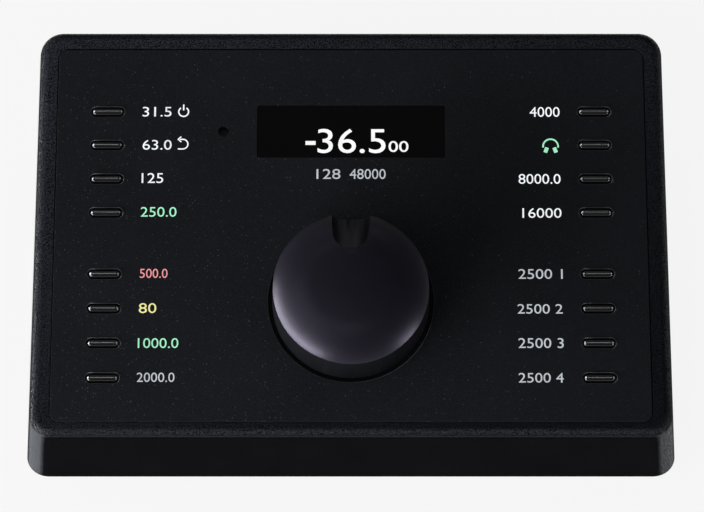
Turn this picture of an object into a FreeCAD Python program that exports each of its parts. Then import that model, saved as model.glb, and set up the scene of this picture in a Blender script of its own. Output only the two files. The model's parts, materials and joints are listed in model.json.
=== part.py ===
import FreeCAD, Part
import os
import re

import Sketcher

# Desktop studio monitor controller: a low wedge-shaped console with an inset control panel, a display,
# sixteen keys and one large volume knob on a push-and-turn encoder; its sockets are on the back.
#
# World frame: +X to the user's right, +Y to the back, +Z up, Z = 0 on the desk under the rubber feet,
# X = Y = 0 in the middle of the footprint. Millimetres and degrees.
#
# Pieces of the control panel are drawn in the panel's own frame: origin in the middle of the panel's
# upper face, x to the right, y up the slope, z out of the panel. Sockets are drawn in the rear
# frame: origin on the outer face of the rear panel, y pointing out of the back.

Vector = FreeCAD.Vector
X_AXIS = Vector(1, 0, 0)
QUARTER_TURN, HALF_TURN, FULL_TURN = 90, 180, 360

doc = FreeCAD.newDocument("monitor_controller")
sheet = doc.addObject("Spreadsheet::Sheet", "sizes")

SIZES = [
    # housing
    ("top_width", 192.3, "housing across its upper front edge"),
    ("top_length", 128.95, "housing along the slope"),
    ("top_taper", 0.5, "each side drawn in from front to back"),
    ("flare", 5.7, "lean of the front and side walls, wider towards the foot"),
    ("front_height", 22.5, "front wall, from the lower rim to the upper edge"),
    ("slope", 15.0, "slope of the control panel"),
    ("foot_height", 2.5, "rubber foot, and the gap under the housing"),
    ("corner_radius", 7.0, "upright corners of the housing"),
    ("edge_round", 3.0, "rounding between the walls and the bezel"),
    ("wall", 2.6, "side and front walls"),
    ("rear_wall", 4.0, "rear wall, and so the depth of the socket recess"),
    ("roof", 4.8, "bezel, from its upper face to the cavity"),
    ("ledge", 4.0, "ledge that carries the control panel"),
    ("boss_radius", 3.6, "screw bosses under the bezel"),
    ("boss_inset", 6.3, "screw bosses from the housing's upper side edges"),
    ("boss_row_inset", 14.0, "screw bosses from the housing's front and back"),
    # control panel
    ("panel_thickness", 2.5, "control panel"),
    ("panel_corner_radius", 3.0, "corners of the control panel"),
    ("panel_gap", 0.2, "groove between panel and bezel"),
    ("panel_edge", 0.25, "broken edge round the panel"),
    ("side_bezel", 6.15, "bezel beside the panel"),
    ("front_bezel", 3.85, "bezel in front of the panel"),
    ("rear_bezel", 7.0, "bezel behind the panel"),
    # display and microphone
    ("display_width", 57.4, "display window"),
    ("display_height", 16.6, "display window"),
    ("display_inset", 26.65, "middle of the display window from the panel's rear edge"),
    ("display_radius", 0.6, "corners of the display window"),
    ("pane_thickness", 1.0, "display window"),
    ("pane_gap", 0.1, "joint round the display window"),
    ("pane_seat", 2.0, "rebate under the window's edge"),
    ("module_margin", 0.6, "room round the display module"),
    ("mic_radius", 1.65, "microphone hole"),
    ("mic_body_radius", 2.2, "microphone capsule"),
    # keys
    ("key_length", 9.5, "key cap"),
    ("key_width", 2.3, "key cap"),
    ("key_rise", 0.7, "cap above the panel"),
    ("key_gap", 0.4, "slot round the cap"),
    ("slot_bevel", 0.2, "broken edge of the slots and of the knob's recess"),
    ("key_travel", 0.6, "how far a key is pressed"),
    ("key_inset", 15.5, "key columns from the panel's side edges"),
    ("key_pitch", 10.8, "from key to key"),
    ("upper_inset", 20.3, "first key of the upper block from the panel's rear edge"),
    ("lower_inset", 13.6, "last key of the lower block from the panel's front edge"),
    ("flange_margin", 1.25, "retaining flange beyond the cap"),
    ("flange_thickness", 1.0, "retaining flange"),
    ("flange_play", 0.3, "flange below the panel"),
    ("well_gap", 0.3, "baffle round the flange"),
    # baffle, key mat and panel board
    ("dome_room", 3.8, "height left in the dome under a pressed key"),
    ("baffle_margin", 1.0, "baffle inside the housing's window"),
    ("mat_thickness", 1.0, "sheet of the silicone key mat"),
    ("mat_margin", 1.5, "key mat inside the baffle's outline"),
    ("dome_radius", 2.3, "foot of a key dome"),
    ("dome_top_radius", 1.6, "top of a key dome"),
    ("dome_wall", 0.5, "skin of a key dome"),
    ("dome_gap", 0.2, "dome below the key"),
    ("board_thickness", 1.6, "both circuit boards"),
    ("legend_width", 16.0, "light well under a legend"),
    ("legend_height", 6.0, "light well under a legend"),
    ("legend_offset", 17.2, "light wells inwards from the key columns"),
    ("post_inset", 9.0, "panel screws from the panel's edges"),
    ("inner_post_offset", 4.3, "middle pair of panel screws inwards from the light wells"),
    ("post_radius", 1.25, "panel screws"),
    ("post_bite", 1.3, "panel screws into the panel"),
    ("post_head_radius", 2.3, "panel screw heads"),
    ("post_head", 1.5, "panel screw heads"),
    ("screw_gap", 0.1, "holes round all screws"),
    # volume knob and encoder
    ("knob_inset", 37.35, "knob axis from the panel's front edge"),
    ("knob_well_radius", 25.0, "round recess that the knob sits in"),
    ("knob_well_depth", 1.8, "round recess that the knob sits in"),
    ("knob_radius", 23.7, "knob at its lower rim"),
    ("knob_top_radius", 23.3, "knob where the side meets the rounding"),
    ("knob_height", 22.0, "top of the knob above the panel"),
    ("knob_sink", 1.0, "lower rim of the knob below the panel's face"),
    ("knob_round", 6.5, "rounding between side and crown"),
    ("knob_crown", 80.0, "radius of the crown's dome"),
    ("knob_wall", 4.0, "knob's skirt"),
    ("knob_ceiling", 8.6, "underside of the knob's crown above the panel"),
    ("knob_travel", 0.5, "how far the knob is pressed"),
    ("scoop_width", 11.1, "finger scoop in the crown"),
    ("scoop_radius", 5.75, "section of the finger scoop"),
    ("scoop_reach", 10.6, "inner end of the scoop from the axis"),
    ("scoop_tilt", 42.0, "fall of the scoop towards the rim"),
    ("hub_radius", 8.0, "knob hub"),
    ("hub_spigot_radius", 6.0, "spigot of the hub in the crown"),
    ("hub_spigot", 3.6, "spigot of the hub in the crown"),
    ("hub_foot", 4.2, "lower face of the hub above the panel"),
    ("shaft_radius", 3.0, "encoder shaft"),
    ("shaft_flat", 1.5, "flat of the shaft from its axis"),
    ("shaft_gap", 0.05, "shaft in its bush and hub"),
    ("shaft_foot", 6.8, "lower end of the shaft below the panel"),
    ("shaft_end_room", 0.6, "shaft below the top of the hub's bore"),
    ("bush_radius", 4.5, "encoder bush"),
    ("bush_rise", 3.2, "encoder bush above the panel"),
    ("bush_gap", 0.2, "panel round the bush"),
    ("encoder_width", 14.0, "encoder body"),
    ("encoder_gap", 0.6, "baffle and mat round the encoder"),
    ("plunger_radius", 3.3, "push plunger under the shaft"),
    ("plunger_thickness", 1.3, "push plunger under the shaft"),
    ("plunger_gap", 0.1, "encoder body round the plunger"),
    ("plunger_room", 0.6, "room under the pressed plunger"),
    ("washer_radius", 6.6, "encoder washer"),
    ("washer_thickness", 0.6, "encoder washer"),
    ("nut_flats", 12.0, "encoder nut across its flats"),
    ("nut_thickness", 2.0, "encoder nut"),
    # base and main board
    ("base_thickness", 1.5, "steel base plate"),
    ("base_gap", 0.3, "base plate inside the walls"),
    ("base_screw_radius", 1.5, "base screws"),
    ("base_screw_head", 1.6, "base screw heads"),
    ("base_screw_head_radius", 2.8, "base screw heads"),
    ("base_screw_length", 9.0, "base screws above the plate's underside"),
    ("foot_radius", 6.5, "rubber feet"),
    ("foot_edge", 0.6, "bevel round the rubber feet"),
    ("foot_inset", 26.0, "rubber feet from the sides"),
    ("foot_row_inset", 15.0, "rubber feet from front and back"),
    ("board_inset", 14.15, "main board from the housing's upper side edges"),
    ("board_length", 84.0, "main board"),
    ("standoff_height", 5.0, "main board above the base plate"),
    ("standoff_radius", 3.0, "main board standoffs"),
    ("standoff_inset", 6.0, "standoffs from the board's sides and front"),
    ("standoff_rear_inset", 26.0, "standoffs from the board's rear edge, in front of the sockets"),
    ("board_screw_radius", 1.3, "main board screws"),
    ("board_screw_length", 4.0, "main board screws below their heads"),
    ("ribbon_width", 24.0, "flat cable between the boards"),
    ("ribbon_thickness", 0.4, "flat cable between the boards"),
    ("ribbon_place", 6.0, "flat cable behind the panel's middle"),
    # rear panel and sockets
    ("rear_plate", 1.5, "rear panel"),
    ("rear_lap", 3.5, "rear panel beyond the opening at its ends"),
    ("rear_top_lap", 5.0, "rear panel beyond the opening at its top"),
    ("recess_inset", 11.15, "opening in the rear wall from the housing's upper side edges"),
    ("recess_height", 36.5, "opening in the rear wall"),
    ("recess_radius", 4.0, "corners of the opening"),
    ("recess_margin", 0.4, "opening below the input sockets' flanges"),
    ("rear_screw_radius", 1.2, "rear panel screws"),
    ("rear_screw_bite", 2.6, "rear panel screws in the rear wall"),
    ("rear_screw_head_radius", 2.0, "rear panel screw heads"),
    ("rear_screw_inset", 1.9, "rear panel screws from the plate's ends"),
    ("rear_screw_row", 9.0, "rear panel screws from the plate's upper and lower edges"),
    ("combo_width", 26.0, "flange of an input socket"),
    ("combo_height", 31.0, "flange of an input socket"),
    ("combo_flange", 2.0, "flange of an input socket"),
    ("combo_radius", 11.8, "barrel of an input socket"),
    ("combo_depth", 24.0, "barrel of an input socket behind the panel"),
    ("combo_ring_radius", 9.9, "ring gap for the plug's shell, outside"),
    ("combo_core_radius", 8.2, "ring gap for the plug's shell, inside"),
    ("combo_ring_depth", 14.0, "ring gap for the plug's shell"),
    ("combo_pin_radius", 1.3, "contact holes"),
    ("combo_pin_circle", 5.5, "contact holes from the axis"),
    ("combo_screw_offset", 9.5, "flange screws beside the axis"),
    ("combo_screw_height", 12.0, "flange screws above and below the axis"),
    ("socket_screw_radius", 1.4, "flange screws"),
    ("socket_screw_head", 0.9, "flange screw heads"),
    ("socket_screw_head_radius", 2.4, "flange screw heads"),
    ("jack_bore_radius", 3.25, "bore for a 6.35 mm plug"),
    ("jack_bore_depth", 20.0, "bore for a 6.35 mm plug, from the bush's mouth"),
    ("jack_bush_radius", 4.6, "threaded bush of a jack"),
    ("jack_bush_rise", 3.4, "bush beyond the rear panel"),
    ("jack_width", 14.0, "jack body"),
    ("jack_height", 12.0, "jack body"),
    ("jack_depth", 19.0, "jack body"),
    ("jack_row_pitch", 14.0, "from row to row of output jacks"),
    ("jack_nut_flats", 12.0, "jack nuts across their flats"),
    ("jack_nut_thickness", 2.0, "jack nuts"),
    ("headphone_height", 14.6, "headphone jack above the main board"),
    ("network_width", 16.0, "network socket"),
    ("network_height", 13.4, "network socket"),
    ("network_depth", 18.0, "network socket behind the panel's face"),
    ("network_mouth_width", 11.8, "mouth for the network plug"),
    ("network_mouth_height", 8.2, "mouth for the network plug"),
    ("network_mouth_depth", 14.0, "mouth for the network plug"),
    ("latch_width", 6.0, "keyway for the plug's latch"),
    ("latch_height", 2.2, "keyway for the plug's latch"),
    ("usb_width", 9.0, "USB socket"),
    ("usb_height", 3.3, "USB socket"),
    ("usb_depth", 7.5, "USB socket"),
    ("usb_shell", 0.35, "USB socket's steel shell"),
    ("usb_tongue", 0.7, "USB socket's tongue"),
    ("dc_width", 9.0, "power inlet"),
    ("dc_height", 11.0, "power inlet"),
    ("dc_depth", 14.0, "power inlet"),
    ("dc_bore_radius", 3.2, "power inlet's mouth"),
    ("dc_bore_depth", 9.5, "power inlet's mouth"),
    ("dc_pin_radius", 1.0, "power inlet's pin"),
    ("dc_pin_setback", 0.8, "power inlet's pin behind its mouth"),
    ("socket_rise", 0.8, "board sockets beyond the rear panel"),
    ("socket_gap", 0.2, "rear panel round the sockets"),
]

for row, (alias, value, meaning) in enumerate(SIZES, start=1):
    sheet.set("A%d" % row, alias)
    sheet.set("B%d" % row, str(value))
    sheet.set("C%d" % row, meaning)
    sheet.setAlias("B%d" % row, alias)
doc.recompute()

ALIASES = {alias for alias, value, meaning in SIZES}

# Each column of keys is two blocks of this many.
ROWS_IN_BLOCK = 4

# Places that follow from the sizes, as expressions on the sheet.
DERIVED = {
    "top_setback": "front_height * tan(flare)",
    "base_depth": "top_setback + top_length * cos(slope)",
    "front_edge_y": "top_setback - base_depth / 2",
    "front_edge_z": "foot_height + front_height",
    "panel_width": "top_width - 2 * side_bezel",
    "panel_length": "top_length - front_bezel - rear_bezel",
    "panel_reach": "front_bezel + panel_length / 2",
    "panel_y": "front_edge_y + panel_reach * cos(slope)",
    "panel_z": "front_edge_z + panel_reach * sin(slope)",
    "base_top": "foot_height + base_thickness",
    "window_width": "panel_width - 2 * ledge",
    "window_length": "panel_length - 2 * ledge",
    "window_radius": "panel_corner_radius",
    "display_y": "panel_length / 2 - display_inset",
    "knob_y": "knob_inset - panel_length / 2",
    "key_column": "panel_width / 2 - key_inset",
    "upper_row": "panel_length / 2 - upper_inset",
    "lower_row": f"lower_inset - panel_length / 2 + {ROWS_IN_BLOCK - 1} * key_pitch",
    "legend_place": "key_column - legend_offset",
    "legend_edge": "legend_place - legend_width / 2",
    "mic_x": "-(display_width / 2 + legend_edge) / 2",
    "post_column": "panel_width / 2 - post_inset",
    "post_row": "panel_length / 2 - post_inset",
    "inner_post_column": "legend_edge - inner_post_offset",
    "baffle_thickness": "flange_play + flange_thickness + dome_gap + key_travel + dome_room",
    "baffle_foot": "-(panel_thickness + baffle_thickness)",
    "board_top": "baffle_foot - mat_thickness",
    "flange_top": "-(panel_thickness + flange_play)",
    "flange_foot": "flange_top - flange_thickness",
    "dome_top": "flange_foot - dome_gap",
    "flange_length": "key_length + 2 * flange_margin",
    "flange_width": "key_width + 2 * flange_margin",
    "cap_spring": "key_rise - key_width / 2",
    "main_board_z": "base_top + standoff_height",
    "main_board_top": "main_board_z + board_thickness",
    "rear_inner_y": "base_depth / 2 - rear_wall",
    "board_y": "rear_inner_y - rear_plate - board_length / 2",
    "board_width": "top_width - 2 * board_inset",
    "recess_width": "top_width - 2 * recess_inset",
    "rear_plate_width": "recess_width + 2 * rear_lap",
    "rear_plate_height": "recess_z + recess_height / 2 + rear_top_lap - base_top",
    "combo_z": "main_board_top + combo_radius",
    "recess_z": "combo_z - combo_height / 2 - recess_margin + recess_height / 2",
    "lower_jack_z": "main_board_top + jack_height / 2",
    "upper_jack_z": "lower_jack_z + jack_row_pitch",
    "headphone_z": "main_board_top + headphone_height",
    "network_z": "main_board_top + network_height / 2",
    "usb_z": "main_board_top + usb_height / 2",
    "dc_z": "main_board_top + dc_height / 2",
    "hub_top": "knob_ceiling + hub_spigot",
}

# The sockets stand in one row across the opening, with equal room between them and at both ends.
SOCKET_ROW = [("combo_left_x", "combo_width"), ("combo_right_x", "combo_width"),
              ("jack_left_x", "jack_width"), ("jack_right_x", "jack_width"),
              ("headphone_x", "jack_width"), ("network_x", "network_width"),
              ("usb_x", "usb_width"), ("dc_x", "dc_width")]
widths = [width for name, width in SOCKET_ROW]
DERIVED["socket_room"] = f"(recess_width - {' - '.join(widths)}) / {len(widths) + 1}"
for place_in_row, (name, width) in enumerate(SOCKET_ROW):
    before = " + ".join(["0"] + widths[:place_in_row])
    DERIVED[name] = f"{place_in_row + 1} * socket_room + {before} + {width} / 2 - recess_width / 2"


def formula(text):
    """Turn words that name a size or a derived place into an expression on the sheet."""
    def expand(match):
        name = match.group(0)
        if name in DERIVED:
            return "(" + formula(DERIVED[name]) + ")"
        return "sizes." + name if name in ALIASES else name
    return re.sub(r"[A-Za-z_]\w*", expand, text)


def number(text):
    """The present value of an expression on the sheet."""
    return float(sheet.evalExpression(formula(text)))


def bind(target, prop, text):
    target.setExpression(prop, formula(text))


# ---- sketches ---------------------------------------------------------------------------------------

# The sketcher's own numbers for its origin, its axes and the points of an edge.
ORIGIN = (-1, 1)
H_AXIS, V_AXIS = range(-1, -3, -1)
START, END, CENTRE = range(1, 4)


def sketch(body, name, role="XY_Plane", lift="0"):
    """A sketch on one of the body's own origin planes, moved along that plane's normal."""
    drawing = body.newObject("Sketcher::SketchObject", name)
    plane = next(item for item in body.Origin.OriginFeatures if item.Role == role)
    drawing.AttachmentSupport = (plane, [""])
    drawing.MapMode = "FlatFace"
    if lift != "0":
        bind(drawing, "AttachmentOffset.Base.z", lift)
    return drawing


def limit(drawing, *constraint):
    """Add a constraint; when its last item is text, bind its value to that expression."""
    if isinstance(constraint[-1], str):
        text = constraint[-1]
        index = drawing.addConstraint(Sketcher.Constraint(*constraint[:-1], number(text)))
        bind(drawing, "Constraints[%d]" % index, text)
    else:
        drawing.addConstraint(Sketcher.Constraint(*constraint))


def locate(drawing, shape, point, x, y):
    """Hold a point of a shape at (x, y)."""
    if number(x) == 0 and number(y) == 0:
        limit(drawing, "Coincident", shape, point, *ORIGIN)
        return
    if number(x) == 0:
        limit(drawing, "PointOnObject", shape, point, V_AXIS)
    else:
        limit(drawing, "DistanceX", *ORIGIN, shape, point, x)
    if number(y) == 0:
        limit(drawing, "PointOnObject", shape, point, H_AXIS)
    else:
        limit(drawing, "DistanceY", *ORIGIN, shape, point, y)


def circle(drawing, radius, x="0", y="0"):
    centre = Vector(number(x), number(y), 0)
    ring = drawing.addGeometry(Part.Circle(centre, Vector(0, 0, 1), number(radius)))
    limit(drawing, "Radius", ring, radius)
    locate(drawing, ring, CENTRE, x, y)


def polygon(drawing, corners):
    """A closed run of straight edges through corners given as pairs of expressions."""
    points = [Vector(number(x), number(y), 0) for x, y in corners]
    edges = []
    for index, point in enumerate(points):
        following = points[(index + 1) % len(points)]
        edges.append(drawing.addGeometry(Part.LineSegment(point, following)))
    for index, edge in enumerate(edges):
        following = edges[(index + 1) % len(edges)]
        limit(drawing, "Coincident", edge, END, following, START)
    for edge, (x, y) in zip(edges, corners):
        locate(drawing, edge, START, x, y)


def rectangle(drawing, width, height, x="0", y="0"):
    left, right = f"({x}) - ({width}) / 2", f"({x}) + ({width}) / 2"
    low, high = f"({y}) - ({height}) / 2", f"({y}) + ({height}) / 2"
    polygon(drawing, [(left, low), (right, low), (right, high), (left, high)])


def hexagon(drawing, flats, x="0", y="0"):
    """A hexagon with the given distance across its flats, two of them level."""
    tall = f"({flats}) / 2"
    wide = f"({flats}) / sqrt(3)"
    steps = [("1", "0"), ("0.5", "1"), ("-0.5", "1"), ("-1", "0"), ("-0.5", "-1"), ("0.5", "-1")]
    polygon(drawing, [(f"({x}) + {a} * {wide}", f"({y}) + {b} * {tall}") for a, b in steps])


def radians(angle):
    return FreeCAD.Units.Quantity(angle, "deg").getValueAs("rad").Value


def rounded(drawing, width, height, radius, x="0", y="0"):
    """A rectangle with rounded corners, centred at (x, y)."""
    half_x = f"(({width}) / 2 - ({radius}))"
    half_y = f"(({height}) / 2 - ({radius}))"
    reach_x, reach_y, turn = number(half_x), number(half_y), number(radius)
    middle = Vector(number(x), number(y), 0)
    # Corner centres anticlockwise from the lower left, with the angle at which each arc starts.
    corners = [(-1, -1, 180), (1, -1, 270), (1, 1, 0), (-1, 1, 90)]
    arcs = []
    for side_x, side_y, begin in corners:
        centre = middle + Vector(side_x * reach_x, side_y * reach_y, 0)
        ring = Part.Circle(centre, Vector(0, 0, 1), turn)
        arcs.append(drawing.addGeometry(
            Part.ArcOfCircle(ring, radians(begin), radians(begin + QUARTER_TURN))))
    for index in range(4):
        following = (index + 1) % 4
        line = drawing.addGeometry(Part.LineSegment(
            drawing.Geometry[arcs[index]].EndPoint, drawing.Geometry[arcs[following]].StartPoint))
        limit(drawing, "Tangent", arcs[index], END, line, START)
        limit(drawing, "Tangent", line, END, arcs[following], START)
        limit(drawing, "Horizontal" if index in (0, 2) else "Vertical", line)
    for arc in arcs[1:]:
        limit(drawing, "Equal", arcs[0], arc)
    limit(drawing, "Radius", arcs[0], radius)
    locate(drawing, arcs[0], CENTRE, f"({x}) - {half_x}", f"({y}) - {half_y}")
    limit(drawing, "DistanceX", arcs[0], CENTRE, arcs[1], CENTRE, f"2 * {half_x}")
    limit(drawing, "DistanceY", arcs[0], CENTRE, arcs[3], CENTRE, f"2 * {half_y}")


def pill(drawing, length, width, x="0", y="0"):
    """A level slot shape with round ends, centred at (x, y)."""
    half = f"(({length}) - ({width})) / 2"
    reach, turn = number(half), number(width) / 2
    middle = Vector(number(x), number(y), 0)
    ends = []
    for side, begin in ((-1, 90), (1, 270)):
        ring = Part.Circle(middle + Vector(side * reach, 0, 0), Vector(0, 0, 1), turn)
        ends.append(drawing.addGeometry(
            Part.ArcOfCircle(ring, radians(begin), radians(begin + HALF_TURN))))
    left, right = ends
    for first, second in ((left, right), (right, left)):
        line = drawing.addGeometry(Part.LineSegment(
            drawing.Geometry[first].EndPoint, drawing.Geometry[second].StartPoint))
        limit(drawing, "Tangent", first, END, line, START)
        limit(drawing, "Tangent", line, END, second, START)
        if first == left:
            limit(drawing, "Horizontal", line)
    limit(drawing, "Equal", left, right)
    limit(drawing, "Radius", left, f"({width}) / 2")
    locate(drawing, left, CENTRE, f"({x}) - {half}", y)
    limit(drawing, "DistanceX", left, CENTRE, right, CENTRE, f"2 * {half}")


def half_pill(drawing, length, width):
    """The upper half of a pill centred at the origin, closed along the level axis."""
    reach, turn = number(f"(({length}) - ({width})) / 2"), number(width) / 2
    arcs = []
    for side, begin in ((-1, 90), (1, 0)):
        ring = Part.Circle(Vector(side * reach, 0, 0), Vector(0, 0, 1), turn)
        arcs.append(drawing.addGeometry(
            Part.ArcOfCircle(ring, radians(begin), radians(begin + QUARTER_TURN))))
    left, right = arcs
    top = drawing.addGeometry(Part.LineSegment(Vector(reach, turn, 0), Vector(-reach, turn, 0)))
    floor = drawing.addGeometry(Part.LineSegment(Vector(-reach - turn, 0, 0), Vector(reach + turn, 0, 0)))
    limit(drawing, "Tangent", right, END, top, START)
    limit(drawing, "Tangent", top, END, left, START)
    limit(drawing, "Coincident", left, END, floor, START)
    limit(drawing, "Coincident", floor, END, right, START)
    limit(drawing, "Horizontal", top)
    limit(drawing, "Equal", left, right)
    limit(drawing, "Radius", left, f"({width}) / 2")
    locate(drawing, left, CENTRE, f"-(({length}) - ({width})) / 2", "0")
    limit(drawing, "PointOnObject", floor, START, H_AXIS)
    limit(drawing, "PointOnObject", floor, END, H_AXIS)
    limit(drawing, "DistanceX", left, CENTRE, right, CENTRE, f"({length}) - ({width})")


# ---- features ---------------------------------------------------------------------------------------

parts = []


def new_body(label):
    body = doc.addObject("PartDesign::Body", label)
    body.Label = label
    parts.append(body)
    return body


def pad(body, name, profile, length, reverse=False):
    feature = body.newObject("PartDesign::Pad", name)
    feature.Profile = profile
    bind(feature, "Length", length)
    feature.Reversed = reverse
    profile.Visibility = False
    return feature


def check_cut(body, feature, before):
    """Stop when a cut took nothing away, because it pointed out of the solid."""
    doc.recompute()
    if feature.Shape.isNull() or feature.Shape.Volume >= before:
        raise RuntimeError(f"{body.Label}: {feature.Name} cuts nothing")


def pocket(body, name, profile, depth=None, reverse=False):
    """Cut a profile to a depth, or right through when no depth is given."""
    doc.recompute()
    before = body.Shape.Volume
    feature = body.newObject("PartDesign::Pocket", name)
    feature.Profile = profile
    feature.Reversed = reverse
    if depth is None:
        feature.Type = "ThroughAll"
    else:
        bind(feature, "Length", depth)
    check_cut(body, feature, before)
    return feature


def edge_names(feature, wanted):
    """Names of the feature's edges that the test picks."""
    doc.recompute()
    return [f"Edge{index}" for index, edge in enumerate(feature.Shape.Edges, start=1) if wanted(edge)]


def fillet(body, name, base, wanted, radius):
    feature = body.newObject("PartDesign::Fillet", name)
    feature.Base = (base, edge_names(base, wanted))
    bind(feature, "Radius", radius)
    return feature


def chamfer(body, name, base, wanted, size):
    feature = body.newObject("PartDesign::Chamfer", name)
    feature.Base = (base, edge_names(base, wanted))
    bind(feature, "Size", size)
    body.Tip = feature
    return feature


def place(target, x="0", y="0", z="0"):
    """Put a piece at a place of the world frame."""
    target.Placement = FreeCAD.Placement(Vector(number(x), number(y), number(z)), FreeCAD.Rotation())
    for axis, text in (("x", x), ("y", y), ("z", z)):
        bind(target, f"Placement.Base.{axis}", text)


def place_on_panel(target, x="0", y="0"):
    """Put a piece at (x, y) of the panel's frame, turned with the slope."""
    target.Placement = FreeCAD.Placement(Vector(), FreeCAD.Rotation(X_AXIS, number("slope")))
    bind(target, "Placement.Rotation.Angle", "slope")
    bind(target, "Placement.Base.x", x)
    bind(target, "Placement.Base.y", f"panel_y + ({y}) * cos(slope)")
    bind(target, "Placement.Base.z", f"panel_z + ({y}) * sin(slope)")


def primitive(kind, sizes, x="0", y="0", z="0"):
    """A Part primitive with its sizes and place bound to the sheet."""
    solid = doc.addObject(kind, "primitive")
    for prop, text in sizes.items():
        bind(solid, prop, text)
    for axis, text in (("x", x), ("y", y), ("z", z)):
        bind(solid, f"Placement.Base.{axis}", text)
    return solid


def group(label, members):
    """Identical pieces that share one node, each a solid of its own."""
    compound = doc.addObject("Part::Compound", label)
    compound.Label = label
    compound.Links = members
    parts.append(compound)
    return compound


def screw(x, y, foot, length, radius, head, head_radius, head_up):
    """A screw along Z: its shank stands on foot, its head is above it or below it."""
    shank = primitive("Part::Cylinder", {"Radius": radius, "Height": length}, x, y, foot)
    seat = f"({foot}) + ({length})" if head_up else f"({foot}) - ({head})"
    cap = primitive("Part::Cylinder", {"Radius": head_radius, "Height": head}, x, y, seat)
    whole = doc.addObject("Part::Fuse", "screw")
    whole.Base = shank
    whole.Tool = cap
    return whole


# ---- housing ----------------------------------------------------------------------------------------

BOSSES = [(side, row) for side in (-1, 1) for row in (-1, 1)]


def boss_place(side, row):
    return f"{side} * (top_width / 2 - boss_inset)", f"{row} * (base_depth / 2 - boss_row_inset)"


def rim_height(y):
    """Height of the sloping upper face at y."""
    return f"(front_edge_z + (({y}) - front_edge_y) * tan(slope))"


def half_rim(run):
    """Half the housing's width on its upper face, at a distance up the slope from the front edge."""
    return f"(top_width / 2 - top_taper * ({run}) / top_length)"


def half_width(y, z):
    """Half the housing's width at y and z, on the outer faces of the flared sides."""
    run = f"(({y}) - front_edge_y) * cos(slope) + (({z}) - front_edge_z) * sin(slope)"
    return f"({half_rim(run)} + ({rim_height(y)} - ({z})) * tan(flare))"


def slope_sketch(body, name):
    """A sketch on the upper face, its origin in the middle of the upper front edge."""
    drawing = sketch(body, name)
    drawing.AttachmentOffset = FreeCAD.Placement(Vector(), FreeCAD.Rotation(X_AXIS, number("slope")))
    bind(drawing, "AttachmentOffset.Rotation.Angle", "slope")
    bind(drawing, "AttachmentOffset.Base.y", "front_edge_y")
    bind(drawing, "AttachmentOffset.Base.z", "front_edge_z")
    return drawing


def wedge(body, name, front, side, back, top, overshoot, radius):
    """A wedge with flared front and sides, set in from the housing's outer faces by front, side, back
    and top, and reaching below the rim by overshoot. Its upright corners are rounded."""
    drop = f"(({front}) * tan(slope) - ({top}) / cos(slope)) / (1 - tan(flare) * tan(slope))"
    foot = f"foot_height - ({overshoot})"
    outline = sketch(body, name + "_side_view", role="YZ_Plane")
    polygon(outline, [
        (f"front_edge_y + ({front}) - (front_height + ({overshoot})) * tan(flare)", foot),
        (f"front_edge_y + ({front}) + ({drop}) * tan(flare)", f"front_edge_z + {drop}"),
        (f"base_depth / 2 - ({back})",
         f"{rim_height(f'base_depth / 2 - ({back})')} - ({top}) / cos(slope)"),
        (f"base_depth / 2 - ({back})", foot)])
    block = pad(body, name + "_block", outline, "2 * top_width")
    block.Midplane = True

    # What lies beside the upper face is cut away downwards; the cut's draft makes the flared sides.
    plan = slope_sketch(body, name + "_plan")
    near, far = "-top_length", "2 * top_length"
    for hand in (-1, 1):
        beyond = f"{hand} * 2 * top_width"
        polygon(plan, [(f"{hand} * ({half_rim(near)} - ({side}))", near),
                       (f"{hand} * ({half_rim(far)} - ({side}))", far), (beyond, far), (beyond, near)])
    trim = pocket(body, name + "_sides", plan, "top_length")
    bind(trim, "TaperAngle", "-atan(tan(flare) / cos(slope))")

    def upright(edge):
        box = edge.BoundBox
        return box.ZLength > number("front_height / 2") and box.YLength < number("front_height / 2")

    return fillet(body, name + "_corners", trim, upright, radius)


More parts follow.
